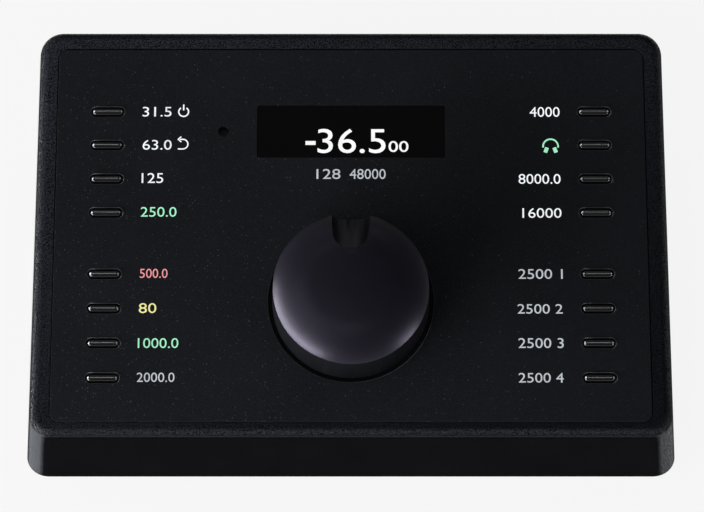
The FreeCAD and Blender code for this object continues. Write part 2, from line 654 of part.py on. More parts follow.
def make_housing():
    """The cast shell: flared walls, a rounded bezel and the recess for the control panel."""
    core = doc.addObject("PartDesign::Body", "housing_core")
    wedge(core, "core", "wall", "wall", "rear_wall", "roof", "wall", "corner_radius - wall")
    doc.recompute()

    body = new_body("top_housing")
    corners = wedge(body, "housing", "0", "0", "0", "0", "0", "corner_radius")

    def on_rim(edge):
        middle = edge.CenterOfMass
        return abs(middle.z - number(rim_height(str(middle.y)))) < 0.01

    fillet(body, "housing_edge", corners, on_rim, "edge_round")
    doc.recompute()
    before = body.Shape.Volume
    cavity = body.newObject("PartDesign::Boolean", "housing_cavity")
    cavity.setObjects([core])
    cavity.Type = "Cut"
    check_cut(body, cavity, before)

    recess = slope_sketch(body, "panel_recess_outline")
    rounded(recess, "panel_width + 2 * panel_gap", "panel_length + 2 * panel_gap",
            "panel_corner_radius + panel_gap", y="panel_reach")
    pocket(body, "panel_recess", recess, "panel_thickness")
    window = slope_sketch(body, "panel_window_outline")
    rounded(window, "window_width", "window_length", "window_radius", y="panel_reach")
    pocket(body, "panel_window", window, "roof + wall")

    for side, row in BOSSES:
        x, y = boss_place(side, row)
        boss = sketch(body, "boss_outline", lift="base_top")
        circle(boss, "boss_radius", x, y)
        top = f"{rim_height(f'({y}) + boss_radius')} - roof / cos(slope) + panel_gap"
        pad(body, "boss", boss, f"{top} - base_top")
        doc.recompute()
        hole = sketch(body, "boss_hole_outline", lift="base_top")
        circle(hole, "base_screw_radius + screw_gap", x, y)
        pocket(body, "boss_hole", hole, "base_screw_length", reverse=True)

    opening = sketch(body, "socket_opening_outline", role="XZ_Plane", lift="-base_depth / 2")
    rounded(opening, "recess_width", "recess_height", "recess_radius", y="recess_z")
    pocket(body, "socket_opening", opening, "rear_wall", reverse=True)
    for x, z in rear_screws():
        hole = sketch(body, "rear_screw_hole_outline", role="XZ_Plane", lift="-rear_inner_y")
        circle(hole, "rear_screw_radius + screw_gap", x, z)
        pocket(body, "rear_screw_hole", hole, "rear_screw_bite + screw_gap")


def rear_screws():
    """Places of the four screws that hold the rear panel to the rear wall, from inside."""
    x = "(rear_plate_width / 2 - rear_screw_inset)"
    low = "(base_top + rear_screw_row)"
    high = "(base_top + rear_plate_height - rear_screw_row)"
    return [(f"{side} * {x}", z) for side in (-1, 1) for z in (low, high)]


# ---- control panel ----------------------------------------------------------------------------------

BLOCKS = ["upper_row", "lower_row"]


def key_places():
    """Key centres in the panel's frame: down the left column, then down the right one."""
    places = []
    for side in (-1, 1):
        for first in BLOCKS:
            for row in range(ROWS_IN_BLOCK):
                places.append((f"{side} * key_column", f"({first}) - {row} * key_pitch"))
    return places


POSTS = [("-post_column", "post_row"), ("post_column", "post_row"),
         ("-post_column", "-post_row"), ("post_column", "-post_row"),
         ("-inner_post_column", "0"), ("inner_post_column", "0")]


def draw_at_keys(drawing, draw):
    """Draw the same thing at the first key of each block, on both sides."""
    for side in (-1, 1):
        for row in BLOCKS:
            draw(drawing, f"{side} * key_column", row)


def repeat_rows(body, feature):
    """Repeat a feature at the other keys of its block, down the panel along the body's own Y axis."""
    pattern = body.newObject("PartDesign::LinearPattern", feature.Name + "_rows")
    pattern.Originals = [feature]
    axis = next(item for item in body.Origin.OriginFeatures if item.Role == "Y_Axis")
    pattern.Direction = (axis, [""])
    pattern.Reversed = True
    bind(pattern, "Length", f"{ROWS_IN_BLOCK - 1} * key_pitch")
    pattern.Occurrences = ROWS_IN_BLOCK
    body.Tip = pattern
    return pattern


def cut_key_rows(body, name, draw):
    """Cut what draw(sketch, x, y) draws at every key, right through."""
    first = sketch(body, name + "_outline")
    draw_at_keys(first, draw)
    cut = pocket(body, name, first)
    cut.Midplane = True
    return repeat_rows(body, cut)


def make_control_panel():
    """The inset face plate with its slots, display seat and knob well."""
    body = new_body("control_panel")
    outline = sketch(body, "panel_outline")
    rounded(outline, "panel_width", "panel_length", "panel_corner_radius")
    plate = pad(body, "panel_plate", outline, "panel_thickness", reverse=True)
    fillet(body, "panel_edge_round", plate, lambda edge: abs(edge.BoundBox.ZMin) < 0.001, "panel_edge")

    def on_face(edge):
        return max(abs(edge.BoundBox.ZMin), abs(edge.BoundBox.ZMax)) < 0.001

    def on_well_rim(edge):
        return on_face(edge) and abs(edge.BoundBox.XLength - number("2 * knob_well_radius")) < 0.01

    def on_slot_rim(edge):
        beside_column = abs(abs(edge.CenterOfMass.x) - number("key_column"))
        return on_face(edge) and beside_column < number("key_length")

    well = sketch(body, "knob_well_outline")
    circle(well, "knob_well_radius", y="knob_y")
    recess = pocket(body, "knob_well", well, "knob_well_depth")
    chamfer(body, "knob_well_edge", recess, on_well_rim, "slot_bevel")
    bush = sketch(body, "bush_hole_outline")
    circle(bush, "bush_radius + bush_gap", y="knob_y")
    pocket(body, "bush_hole", bush)

    seat = sketch(body, "pane_seat_outline")
    rounded(seat, "display_width + 2 * pane_gap", "display_height + 2 * pane_gap",
            "display_radius + pane_gap", y="display_y")
    pocket(body, "pane_seat", seat, "pane_thickness")
    view = sketch(body, "pane_view_outline")
    rectangle(view, "display_width - 2 * pane_seat", "display_height - 2 * pane_seat",
              y="display_y")
    pocket(body, "pane_view", view)
    mic = sketch(body, "mic_hole_outline")
    circle(mic, "mic_radius", "mic_x", "display_y")
    pocket(body, "mic_hole", mic)

    for x, y in POSTS:
        hole = sketch(body, "post_hole_outline", lift="-panel_thickness")
        circle(hole, "post_radius + screw_gap", x, y)
        pocket(body, "post_hole", hole, "post_bite + screw_gap", reverse=True)

    def slot(drawing, x, y):
        pill(drawing, "key_length + 2 * key_gap", "key_width + 2 * key_gap", x, y)

    slots = cut_key_rows(body, "key_slots", slot)
    chamfer(body, "key_slot_edges", slots, on_slot_rim, "slot_bevel")
    place_on_panel(body)


def make_display():
    """The glass pane flush with the panel, and the display module behind it."""
    pane = new_body("display_window")
    outline = sketch(pane, "pane_outline")
    rounded(outline, "display_width", "display_height", "display_radius", y="display_y")
    pad(pane, "pane", outline, "pane_thickness", reverse=True)
    place_on_panel(pane)

    module = new_body("display_module")
    frame = sketch(module, "module_outline", lift="-panel_thickness")
    rectangle(frame, "display_width", "display_height", y="display_y")
    pad(module, "module", frame, "-board_top - panel_thickness", reverse=True)
    place_on_panel(module)


def make_microphone():
    """The small measuring microphone behind its hole."""
    body = new_body("room_microphone")
    outline = sketch(body, "capsule_outline", lift="-panel_thickness")
    circle(outline, "mic_body_radius", "mic_x", "display_y")
    pad(body, "capsule", outline, "-board_top - panel_thickness", reverse=True)
    place_on_panel(body)


def cut_inner_openings(body):
    """Openings that the baffle and the key mat share: display, microphone, encoder and screws."""
    display = sketch(body, "display_opening_outline")
    rectangle(display, "display_width + 2 * module_margin", "display_height + 2 * module_margin",
              y="display_y")
    cut = pocket(body, "display_opening", display)
    cut.Midplane = True
    encoder = sketch(body, "encoder_opening_outline")
    rectangle(encoder, "encoder_width + 2 * encoder_gap", "encoder_width + 2 * encoder_gap",
              y="knob_y")
    cut = pocket(body, "encoder_opening", encoder)
    cut.Midplane = True
    holes = sketch(body, "screw_openings_outline")
    circle(holes, "mic_body_radius + well_gap", "mic_x", "display_y")
    for x, y in POSTS:
        circle(holes, "post_radius + screw_gap", x, y)
    cut = pocket(body, "screw_openings", holes)
    cut.Midplane = True


def make_baffle():
    """The moulded baffle that guides the keys and keeps each legend's light to itself."""
    body = new_body("light_baffle")
    outline = sketch(body, "baffle_outline", lift="-panel_thickness")
    rounded(outline, "window_width - 2 * baffle_margin", "window_length - 2 * baffle_margin",
            "window_radius")
    pad(body, "baffle_plate", outline, "baffle_thickness", reverse=True)
    cut_inner_openings(body)

    def wells(drawing, x, y):
        pill(drawing, "flange_length + 2 * well_gap", "flange_width + 2 * well_gap", x, y)
        rectangle(drawing, "legend_width", "legend_height", f"{x} * legend_place / key_column", y)

    cut_key_rows(body, "key_wells", wells)
    place_on_panel(body)


def make_key_mat():
    """The silicone mat whose sixteen hollow domes return the keys."""
    body = new_body("key_mat")
    outline = sketch(body, "mat_outline", lift="baffle_foot")
    rounded(outline, "window_width - 2 * baffle_margin - 2 * mat_margin",
            "window_length - 2 * baffle_margin - 2 * mat_margin", "window_radius")
    pad(body, "mat_sheet", outline, "mat_thickness", reverse=True)
    cut_inner_openings(body)

    def domes(feature, radius, top_radius, height):
        """Four cones a side, tapered from one radius to the other, repeated down the panel."""
        bind(feature, "TaperAngle", f"atan(({top_radius} - {radius}) / ({height}))")
        repeat_rows(body, feature)

    skin = sketch(body, "dome_outline", lift="baffle_foot")
    draw_at_keys(skin, lambda drawing, x, y: circle(drawing, "dome_radius", x, y))
    rise = "dome_top - baffle_foot"
    domes(pad(body, "dome", skin, rise), "dome_radius", "dome_top_radius", rise)
    hollow = sketch(body, "dome_hollow_outline", lift="board_top")
    draw_at_keys(hollow, lambda drawing, x, y: circle(drawing, "dome_radius - dome_wall", x, y))
    depth = "dome_top - board_top - 2 * dome_wall"
    domes(pocket(body, "dome_hollow", hollow, depth, reverse=True),
          "dome_radius", "dome_top_radius", depth)
    place_on_panel(body)


def make_panel_board():
    """The board that carries the display, the encoder and the key contacts, and its screws."""
    body = new_body("panel_board")
    outline = sketch(body, "board_outline", lift="board_top")
    rounded(outline, "window_width - 2 * baffle_margin", "window_length - 2 * baffle_margin",
            "window_radius")
    pad(body, "board", outline, "board_thickness", reverse=True)
    holes = sketch(body, "board_holes_outline")
    for x, y in POSTS:
        circle(holes, "post_radius + screw_gap", x, y)
    cut = pocket(body, "board_holes", holes)
    cut.Midplane = True
    place_on_panel(body)

    foot = "board_top - board_thickness"
    length = f"-panel_thickness + post_bite - ({foot})"
    screws = [screw(x, y, foot, length, "post_radius", "post_head", "post_head_radius", False)
              for x, y in POSTS]
    place_on_panel(group("panel_screws", screws))


def make_keys():
    """Sixteen caps, each with a fully rounded top and a flange that the panel holds back."""
    for count, (x, y) in enumerate(key_places(), start=1):
        body = new_body(f"key_{count:02d}")
        flange = sketch(body, "flange_outline", lift="flange_foot")
        pill(flange, "flange_length", "flange_width")
        pad(body, "flange", flange, "flange_thickness")
        stem = sketch(body, "stem_outline", lift="flange_top")
        pill(stem, "key_length", "key_width")
        pad(body, "stem", stem, "cap_spring - flange_top")
        crown = sketch(body, "crown_outline", lift="cap_spring")
        half_pill(crown, "key_length", "key_width")
        top = body.newObject("PartDesign::Revolution", "crown")
        top.Profile = crown
        top.ReferenceAxis = (crown, ["H_Axis"])
        top.Angle = HALF_TURN
        place_on_panel(body, x, y)


# ---- knob and encoder -------------------------------------------------------------------------------

def make_encoder():
    """Encoder body with its bush, the washer and nut that clamp it, and the push plunger."""
    body = new_body("encoder_body")
    case = sketch(body, "case_outline", lift="board_top")
    rectangle(case, "encoder_width", "encoder_width")
    pad(body, "case", case, "-panel_thickness - board_top")
    bush = sketch(body, "bush_outline", lift="-panel_thickness")
    circle(bush, "bush_radius")
    pad(body, "bush", bush, "panel_thickness + bush_rise")
    bore = sketch(body, "bore_outline", lift="bush_rise")
    circle(bore, "shaft_radius + shaft_gap")
    pocket(body, "bore", bore, "bush_rise + shaft_foot")
    chamber = sketch(body, "chamber_outline", lift="-shaft_foot")
    circle(chamber, "plunger_radius + plunger_gap")
    pocket(body, "chamber", chamber, "plunger_thickness + plunger_room + knob_travel")
    place_on_panel(body, y="knob_y")

    washer = new_body("encoder_washer")
    ring = sketch(washer, "washer_outline", lift="-knob_well_depth")
    circle(ring, "washer_radius")
    circle(ring, "bush_radius + bush_gap")
    pad(washer, "ring", ring, "washer_thickness")
    place_on_panel(washer, y="knob_y")

    nut = new_body("encoder_nut")
    flats = sketch(nut, "nut_outline", lift="washer_thickness - knob_well_depth")
    hexagon(flats, "nut_flats")
    circle(flats, "bush_radius + shaft_gap")
    pad(nut, "hexagon", flats, "nut_thickness")
    place_on_panel(nut, y="knob_y")

    plunger = new_body("encoder_plunger")
    disc = sketch(plunger, "plunger_outline", lift="-shaft_foot")
    circle(disc, "plunger_radius")
    pad(plunger, "disc", disc, "plunger_thickness", reverse=True)
    place_on_panel(plunger, y="knob_y")


def flat_side(drawing, radius, flat):
    """A round section with one flat, for the shaft and the hub's bore."""
    turn, cut = number(radius), number(flat)
    rise = (turn ** 2 - cut ** 2) ** 0.5
    ring = Part.Circle(Vector(), Vector(0, 0, 1), turn)
    begin = ring.parameter(Vector(-rise, cut, 0))
    finish = ring.parameter(Vector(rise, cut, 0))
    arc = drawing.addGeometry(Part.ArcOfCircle(ring, begin, finish))
    line = drawing.addGeometry(Part.LineSegment(
        drawing.Geometry[arc].EndPoint, drawing.Geometry[arc].StartPoint))
    limit(drawing, "Coincident", arc, END, line, START)
    limit(drawing, "Coincident", line, END, arc, START)
    limit(drawing, "Coincident", arc, CENTRE, *ORIGIN)
    limit(drawing, "Radius", arc, radius)
    limit(drawing, "Horizontal", line)
    limit(drawing, "DistanceY", *ORIGIN, line, START, flat)


def make_knob():
    """The turned aluminium knob with its finger scoop, the hub inside it and the encoder shaft."""
    body = new_body("volume_knob")
    profile = sketch(body, "knob_profile", role="XZ_Plane")
    lip, side, foot, top = (number(text) for text in ("knob_radius", "knob_top_radius",
                                                      "-knob_sink", "knob_height"))
    crown, turn = number("knob_crown"), number("knob_round")
    # The rounding touches both the side and the crown, so its centre follows from the two radii.
    turn_x = side - turn
    crown_z = top - crown
    turn_z = crown_z + ((crown - turn) ** 2 - turn_x ** 2) ** 0.5
    reach = Vector(turn_x, turn_z - crown_z, 0).normalize()
    meeting = Vector(turn_x, turn_z, 0) + reach * turn
    dome_circle = Part.Circle(Vector(0, crown_z, 0), Vector(0, 0, 1), crown)
    turn_circle = Part.Circle(Vector(turn_x, turn_z, 0), Vector(0, 0, 1), turn)
    floor = profile.addGeometry(Part.LineSegment(Vector(0, foot, 0), Vector(lip, foot, 0)))
    flank = profile.addGeometry(Part.LineSegment(Vector(lip, foot, 0), Vector(side, turn_z, 0)))
    rounding = profile.addGeometry(Part.ArcOfCircle(turn_circle, 0, turn_circle.parameter(meeting)))
    dome = profile.addGeometry(Part.ArcOfCircle(dome_circle, dome_circle.parameter(meeting),
                                                dome_circle.parameter(Vector(0, top, 0))))
    axis = profile.addGeometry(Part.LineSegment(Vector(0, top, 0), Vector(0, foot, 0)))
    limit(profile, "Horizontal", floor)
    limit(profile, "Coincident", floor, END, flank, START)
    limit(profile, "Tangent", flank, END, rounding, START)
    limit(profile, "Tangent", rounding, END, dome, START)
    limit(profile, "Coincident", dome, END, axis, START)
    limit(profile, "Coincident", axis, END, floor, START)
    limit(profile, "Radius", rounding, "knob_round")
    limit(profile, "Radius", dome, "knob_crown")
    limit(profile, "PointOnObject", dome, CENTRE, V_AXIS)
    limit(profile, "PointOnObject", dome, END, V_AXIS)
    limit(profile, "PointOnObject", axis, END, V_AXIS)
    limit(profile, "DistanceY", *ORIGIN, axis, START, "knob_height")
    limit(profile, "DistanceY", *ORIGIN, floor, START, "-knob_sink")
    limit(profile, "DistanceX", *ORIGIN, floor, END, "knob_radius")
    limit(profile, "DistanceX", *ORIGIN, rounding, CENTRE, "knob_top_radius - knob_round")
    turned = body.newObject("PartDesign::Revolution", "knob_turning")
    turned.Profile = profile
    turned.ReferenceAxis = (profile, ["V_Axis"])
    turned.Angle = FULL_TURN

    hollow = sketch(body, "skirt_hollow_outline", lift="-knob_sink")
    circle(hollow, "knob_radius - knob_wall")
    pocket(body, "skirt_hollow", hollow, "knob_sink + knob_ceiling", reverse=True)
    socket = sketch(body, "hub_socket_outline", lift="knob_ceiling")
    circle(socket, "hub_spigot_radius + shaft_gap")
    pocket(body, "hub_socket", socket, "hub_spigot + shaft_gap", reverse=True)
    cut_scoop(body)
    place_on_panel(body, y="knob_y")

    hub = new_body("knob_hub")
    drum = sketch(hub, "hub_outline", lift="hub_foot")
    circle(drum, "hub_radius")
    pad(hub, "drum", drum, "knob_ceiling - hub_foot")
    spigot = sketch(hub, "spigot_outline", lift="knob_ceiling")
    circle(spigot, "hub_spigot_radius")
    pad(hub, "spigot", spigot, "hub_spigot")
    bore = sketch(hub, "hub_bore_outline", lift="hub_foot")
    flat_side(bore, "shaft_radius + shaft_gap", "shaft_flat + shaft_gap")
    pocket(hub, "hub_bore", bore, "hub_top - hub_foot - shaft_end_room", reverse=True)
    place_on_panel(hub, y="knob_y")

    shaft = new_body("encoder_shaft")
    rod = sketch(shaft, "rod_outline", lift="-shaft_foot")
    circle(rod, "shaft_radius")
    pad(shaft, "rod", rod, "shaft_foot + bush_rise")
    grip = sketch(shaft, "grip_outline", lift="bush_rise")
    flat_side(grip, "shaft_radius", "shaft_flat")
    pad(shaft, "grip", grip, "hub_top - bush_rise - 2 * shaft_end_room")
    place_on_panel(shaft, y="knob_y")


def cut_scoop(body):
    """A round-ended finger scoop, sunk into the crown and open at the rim: a capsule turned about
    its own tilted axis."""
    doc.recompute()
    before = body.Shape.Volume
    drawing = sketch(body, "scoop_profile", role="YZ_Plane")
    half, turn, tilt = number("scoop_width / 2"), number("scoop_radius"), number("scoop_tilt")
    start_y = number("scoop_reach") + half
    crown, top = number("knob_crown"), number("knob_height")
    surface = top - crown + (crown ** 2 - start_y ** 2) ** 0.5
    start_z = surface + (turn ** 2 - half ** 2) ** 0.5
    run = number("knob_radius")
    along = FreeCAD.Rotation(Vector(0, 0, 1), -tilt).multVec(Vector(1, 0, 0))
    down = Vector(along.y, -along.x, 0)
    centre = Vector(start_y, start_z, 0)
    ring = Part.Circle(centre, Vector(0, 0, 1), turn)
    back = centre - along * turn
    belly = centre + down * turn
    far_belly = belly + along * run
    far = centre + along * run
    arc = drawing.addGeometry(Part.ArcOfCircle(ring, ring.parameter(back), ring.parameter(belly)))
    trough = drawing.addGeometry(Part.LineSegment(belly, far_belly))
    mouth = drawing.addGeometry(Part.LineSegment(far_belly, far))
    spine = drawing.addGeometry(Part.LineSegment(far, back))
    limit(drawing, "Tangent", arc, END, trough, START)
    limit(drawing, "Coincident", trough, END, mouth, START)
    limit(drawing, "Coincident", mouth, END, spine, START)
    limit(drawing, "Coincident", spine, END, arc, START)
    limit(drawing, "Parallel", trough, spine)
    limit(drawing, "Perpendicular", mouth, spine)
    limit(drawing, "PointOnObject", arc, CENTRE, spine)
    limit(drawing, "Radius", arc, "scoop_radius")
    limit(drawing, "DistanceX", *ORIGIN, arc, CENTRE, "scoop_reach + scoop_width / 2")
    limit(drawing, "DistanceY", *ORIGIN, arc, CENTRE,
          "knob_height - knob_crown + sqrt(pow(knob_crown; 2) - pow(scoop_reach + scoop_width / 2; 2))"
          " + sqrt(pow(scoop_radius; 2) - pow(scoop_width / 2; 2))")
    limit(drawing, "Distance", trough, "knob_radius")
    limit(drawing, "DistanceY", mouth, END, arc, CENTRE, "knob_radius * sin(scoop_tilt)")
    groove = body.newObject("PartDesign::Groove", "finger_scoop")
    groove.Profile = drawing
    groove.ReferenceAxis = (drawing, [f"Edge{spine + 1}"])
    groove.Angle = FULL_TURN
    check_cut(body, groove, before)


# ---- base and main board ----------------------------------------------------------------------------

FEET = [(side, row) for side in (-1, 1) for row in (-1, 1)]


def make_base():
    """The steel base plate, its screws and the rubber feet."""
    body = new_body("base_plate")
    outline = sketch(body, "base_outline", lift="foot_height")
    front_y = "-base_depth / 2 + wall + base_gap"
    back_y = "base_depth / 2 - rear_wall - base_gap"
    front_x = f"({half_width(front_y, 'base_top')} - wall - base_gap)"
    back_x = f"({half_width(back_y, 'base_top')} - wall - base_gap)"
    polygon(outline, [(f"-{front_x}", front_y), (front_x, front_y),
                      (back_x, back_y), (f"-{back_x}", back_y)])
    sheet_metal = pad(body, "base", outline, "base_thickness")

    def upright(edge):
        return edge.BoundBox.ZLength > number("base_thickness / 2")

    fillet(body, "base_corners", sheet_metal, upright, "corner_radius - wall")
    holes = sketch(body, "base_holes_outline")
    for side, row in BOSSES:
        x, y = boss_place(side, row)
        circle(holes, "base_screw_radius + screw_gap", x, y)
    pocket(body, "base_holes", holes, "2 * base_top", reverse=True)

    screws = []
    for side, row in BOSSES:
        x, y = boss_place(side, row)
        screws.append(screw(x, y, "foot_height", "base_screw_length", "base_screw_radius",
                            "base_screw_head", "base_screw_head_radius", False))
    group("base_screws", screws)

    feet = []
    for side, row in FEET:
        x = f"{side} * (top_width / 2 - foot_inset)"
        y = f"{row} * (base_depth / 2 - foot_row_inset)"
        tread = primitive("Part::Cone", {"Radius1": "foot_radius - foot_edge", "Radius2": "foot_radius",
                                         "Height": "foot_edge"}, x, y)
        pad_above = primitive("Part::Cylinder", {"Radius": "foot_radius",
                                                 "Height": "foot_height - foot_edge"}, x, y, "foot_edge")
        foot = doc.addObject("Part::Fuse", "foot")
        foot.Base = tread
        foot.Tool = pad_above
        feet.append(foot)
    group("rubber_feet", feet)


def board_corners():
    x = "(board_width / 2 - standoff_inset)"
    front = "board_y - board_length / 2 + standoff_inset"
    rear = "board_y + board_length / 2 - standoff_rear_inset"
    return [(f"{side} * {x}", y) for side in (-1, 1) for y in (front, rear)]


def make_main_board():
    """The main board on four standoffs, and the flat cable up to the panel board."""
    body = new_body("main_board")
    outline = sketch(body, "main_outline", lift="main_board_z")
    rectangle(outline, "board_width", "board_length", y="board_y")
    pad(body, "main", outline, "board_thickness")
    holes = sketch(body, "main_holes_outline", lift="main_board_z")
    for x, y in board_corners():
        circle(holes, "board_screw_radius + screw_gap", x, y)
    pocket(body, "main_holes", holes, "board_thickness", reverse=True)

    standoffs = []
    for x, y in board_corners():
        post = primitive("Part::Cylinder", {"Radius": "standoff_radius", "Height": "standoff_height"},
                         x, y, "base_top")
        bore = primitive("Part::Cylinder", {"Radius": "board_screw_radius + screw_gap",
                                            "Height": "standoff_height"}, x, y, "base_top")
        sleeve = doc.addObject("Part::Cut", "standoff")
        sleeve.Base = post
        sleeve.Tool = bore
        standoffs.append(sleeve)
    group("board_standoffs", standoffs)

    foot = "main_board_top - board_screw_length"
    screws = [screw(x, y, foot, "board_screw_length", "board_screw_radius", "post_head",
                    "post_head_radius", True) for x, y in board_corners()]
    group("main_board_screws", screws)

    ribbon = new_body("board_ribbon")
    strip = sketch(ribbon, "ribbon_profile", role="YZ_Plane", lift="-ribbon_width / 2")
    near, far = "ribbon_place", "ribbon_place + ribbon_thickness"

    def underside(y):
        return f"panel_z + (({y}) - panel_y) * tan(slope) + (board_top - board_thickness) / cos(slope)"

    polygon(strip, [(near, "main_board_top"), (far, "main_board_top"),
                    (far, underside(far)), (near, underside(near))])
    pad(ribbon, "ribbon", strip, "ribbon_width")


# ---- rear panel and sockets -------------------------------------------------------------------------

def rear_sketch(body, name, out="0"):
    """A sketch across the rear frame: x to the right seen from the front, y up, moved outwards."""
    return sketch(body, name, role="XZ_Plane", lift=f"-({out})")


def place_at_rear(target, x="0", z="0"):
    place(target, x, "rear_inner_y", z)


COMBOS = [("combo_socket_left", "combo_left_x"), ("combo_socket_right", "combo_right_x")]
JACKS = [("output_jack_1", "jack_left_x", "upper_jack_z"),
         ("output_jack_2", "jack_right_x", "upper_jack_z"),
         ("output_jack_3", "jack_left_x", "lower_jack_z"),
         ("output_jack_4", "jack_right_x", "lower_jack_z"),
         ("headphone_jack", "headphone_x", "headphone_z")]
CONTACT_ANGLES = (90, 210, 330)
COMBO_SCREWS = [("combo_screw_offset", "combo_screw_height"),
                ("-combo_screw_offset", "-combo_screw_height")]


def make_rear_panel():
    """The sheet that carries the sockets, screwed to the inside of the rear wall."""
    body = new_body("rear_panel")
    outline = rear_sketch(body, "rear_outline")
    rectangle(outline, "rear_plate_width", "rear_plate_height", y="base_top + rear_plate_height / 2")
    pad(body, "sheet", outline, "rear_plate")
    holes = rear_sketch(body, "rear_holes_outline")
    for label, x in COMBOS:
        circle(holes, "combo_radius + socket_gap", x, "combo_z")
        for offset, height in COMBO_SCREWS:
            circle(holes, "socket_screw_radius + screw_gap", f"{x} + ({offset})", f"combo_z + ({height})")
    for label, x, z in JACKS:
        circle(holes, "jack_bush_radius + socket_gap", x, z)
    for x, z in rear_screws():
        circle(holes, "rear_screw_radius + screw_gap", x, z)
    for x, z, width, height in (("network_x", "network_z", "network_width", "network_height"),
                                ("usb_x", "usb_z", "usb_width", "usb_height"),
                                ("dc_x", "dc_z", "dc_width", "dc_height")):
        rectangle(holes, f"{width} + 2 * socket_gap", f"{height} + 2 * socket_gap", x, z)
    pocket(body, "rear_holes", holes, "rear_plate", reverse=True)
    place(body, y="rear_inner_y")

    screws = []
    for x, z in rear_screws():
        shank = primitive("Part::Cylinder", {"Radius": "rear_screw_radius",
                                             "Height": "rear_plate + rear_screw_bite"})
        head = primitive("Part::Cylinder", {"Radius": "rear_screw_head_radius", "Height": "post_head"})
        for cylinder, start in ((shank, "rear_inner_y - rear_plate"),
                                (head, "rear_inner_y - rear_plate - post_head")):
            cylinder.Placement = FreeCAD.Placement(Vector(), FreeCAD.Rotation(X_AXIS, -QUARTER_TURN))
            bind(cylinder, "Placement.Base.x", x)
            bind(cylinder, "Placement.Base.y", start)
            bind(cylinder, "Placement.Base.z", z)
        whole = doc.addObject("Part::Fuse", "rear_screw")
        whole.Base = shank
        whole.Tool = head
        screws.append(whole)
    group("rear_panel_screws", screws)


def make_combo(label, x):
    """A combined input: a shell ring and three contact holes round a 6.35 mm jack bore."""
    body = new_body(label)
    flange = rear_sketch(body, "flange_outline")
    rounded(flange, "combo_width", "combo_height", "panel_corner_radius")
    pad(body, "flange", flange, "combo_flange", reverse=True)
    barrel = rear_sketch(body, "barrel_outline")
    circle(barrel, "combo_radius")
    pad(body, "barrel", barrel, "combo_depth")
    ring = rear_sketch(body, "ring_outline", "combo_flange")
    circle(ring, "combo_ring_radius")
    circle(ring, "combo_core_radius")
    pocket(body, "ring", ring, "combo_ring_depth", reverse=True)
    holes = rear_sketch(body, "contact_outline", "combo_flange")
    for turn in CONTACT_ANGLES:
        circle(holes, "combo_pin_radius", f"combo_pin_circle * cos({turn})",
               f"-combo_pin_circle * sin({turn})")
    pocket(body, "contacts", holes, "combo_ring_depth", reverse=True)
    bore = rear_sketch(body, "jack_outline", "combo_flange")
    circle(bore, "jack_bore_radius")
    pocket(body, "jack_bore", bore, "jack_bore_depth", reverse=True)
    screws = rear_sketch(body, "flange_holes_outline", "combo_flange")
    for offset, height in COMBO_SCREWS:
        circle(screws, "socket_screw_radius + screw_gap", offset, height)
    pocket(body, "flange_holes", screws, "combo_flange", reverse=True)
    place_at_rear(body, x, "combo_z")


def make_socket_screws():
    """Two screws through each input socket's flange."""
    screws = []
    for label, x in COMBOS:
        for offset, height in COMBO_SCREWS:
            shank = primitive("Part::Cylinder", {"Radius": "socket_screw_radius",
                                                 "Height": "combo_flange + rear_plate"})
            head = primitive("Part::Cylinder", {"Radius": "socket_screw_head_radius",
                                                "Height": "socket_screw_head"})
            seat = "rear_inner_y + combo_flange"
            for cylinder, start in ((shank, "rear_inner_y - rear_plate"), (head, seat)):
                cylinder.Placement = FreeCAD.Placement(Vector(), FreeCAD.Rotation(X_AXIS, -QUARTER_TURN))
                bind(cylinder, "Placement.Base.x", f"{x} + ({offset})")
                bind(cylinder, "Placement.Base.y", start)
                bind(cylinder, "Placement.Base.z", f"combo_z + ({height})")
            whole = doc.addObject("Part::Fuse", "socket_screw")
            whole.Base = shank
            whole.Tool = head
            screws.append(whole)
    group("socket_screws", screws)


def make_jack(label, x, z):
    """A 6.35 mm jack: a moulded body behind the rear panel and a threaded bush through it."""
    body = new_body(label)
    case = rear_sketch(body, "jack_case_outline", "-rear_plate")
    rectangle(case, "jack_width", "jack_height")
    pad(body, "case", case, "jack_depth")
    bush = rear_sketch(body, "jack_bush_outline", "-rear_plate")
    circle(bush, "jack_bush_radius")
    pad(body, "bush", bush, "rear_plate + jack_bush_rise", reverse=True)
    bore = rear_sketch(body, "jack_bore_outline", "jack_bush_rise")
    circle(bore, "jack_bore_radius")
    pocket(body, "bore", bore, "jack_bore_depth", reverse=True)
    place_at_rear(body, x, z)


def make_jack_nuts():
    """One hexagon nut on each jack's bush."""
    nuts = []
    for label, x, z in JACKS:
        prism = primitive("Part::Prism", {"Circumradius": "jack_nut_flats / sqrt(3)",
                                          "Height": "jack_nut_thickness"})
        bore = primitive("Part::Cylinder", {"Radius": "jack_bush_radius + shaft_gap",
                                            "Height": "jack_nut_thickness"})
        for solid in (prism, bore):
            solid.Placement = FreeCAD.Placement(Vector(), FreeCAD.Rotation(X_AXIS, -QUARTER_TURN))
            bind(solid, "Placement.Base.x", x)
            bind(solid, "Placement.Base.y", "rear_inner_y")
            bind(solid, "Placement.Base.z", z)
        nut = doc.addObject("Part::Cut", "jack_nut")
        nut.Base = prism
        nut.Tool = bore
        nuts.append(nut)
    group("jack_nuts", nuts)


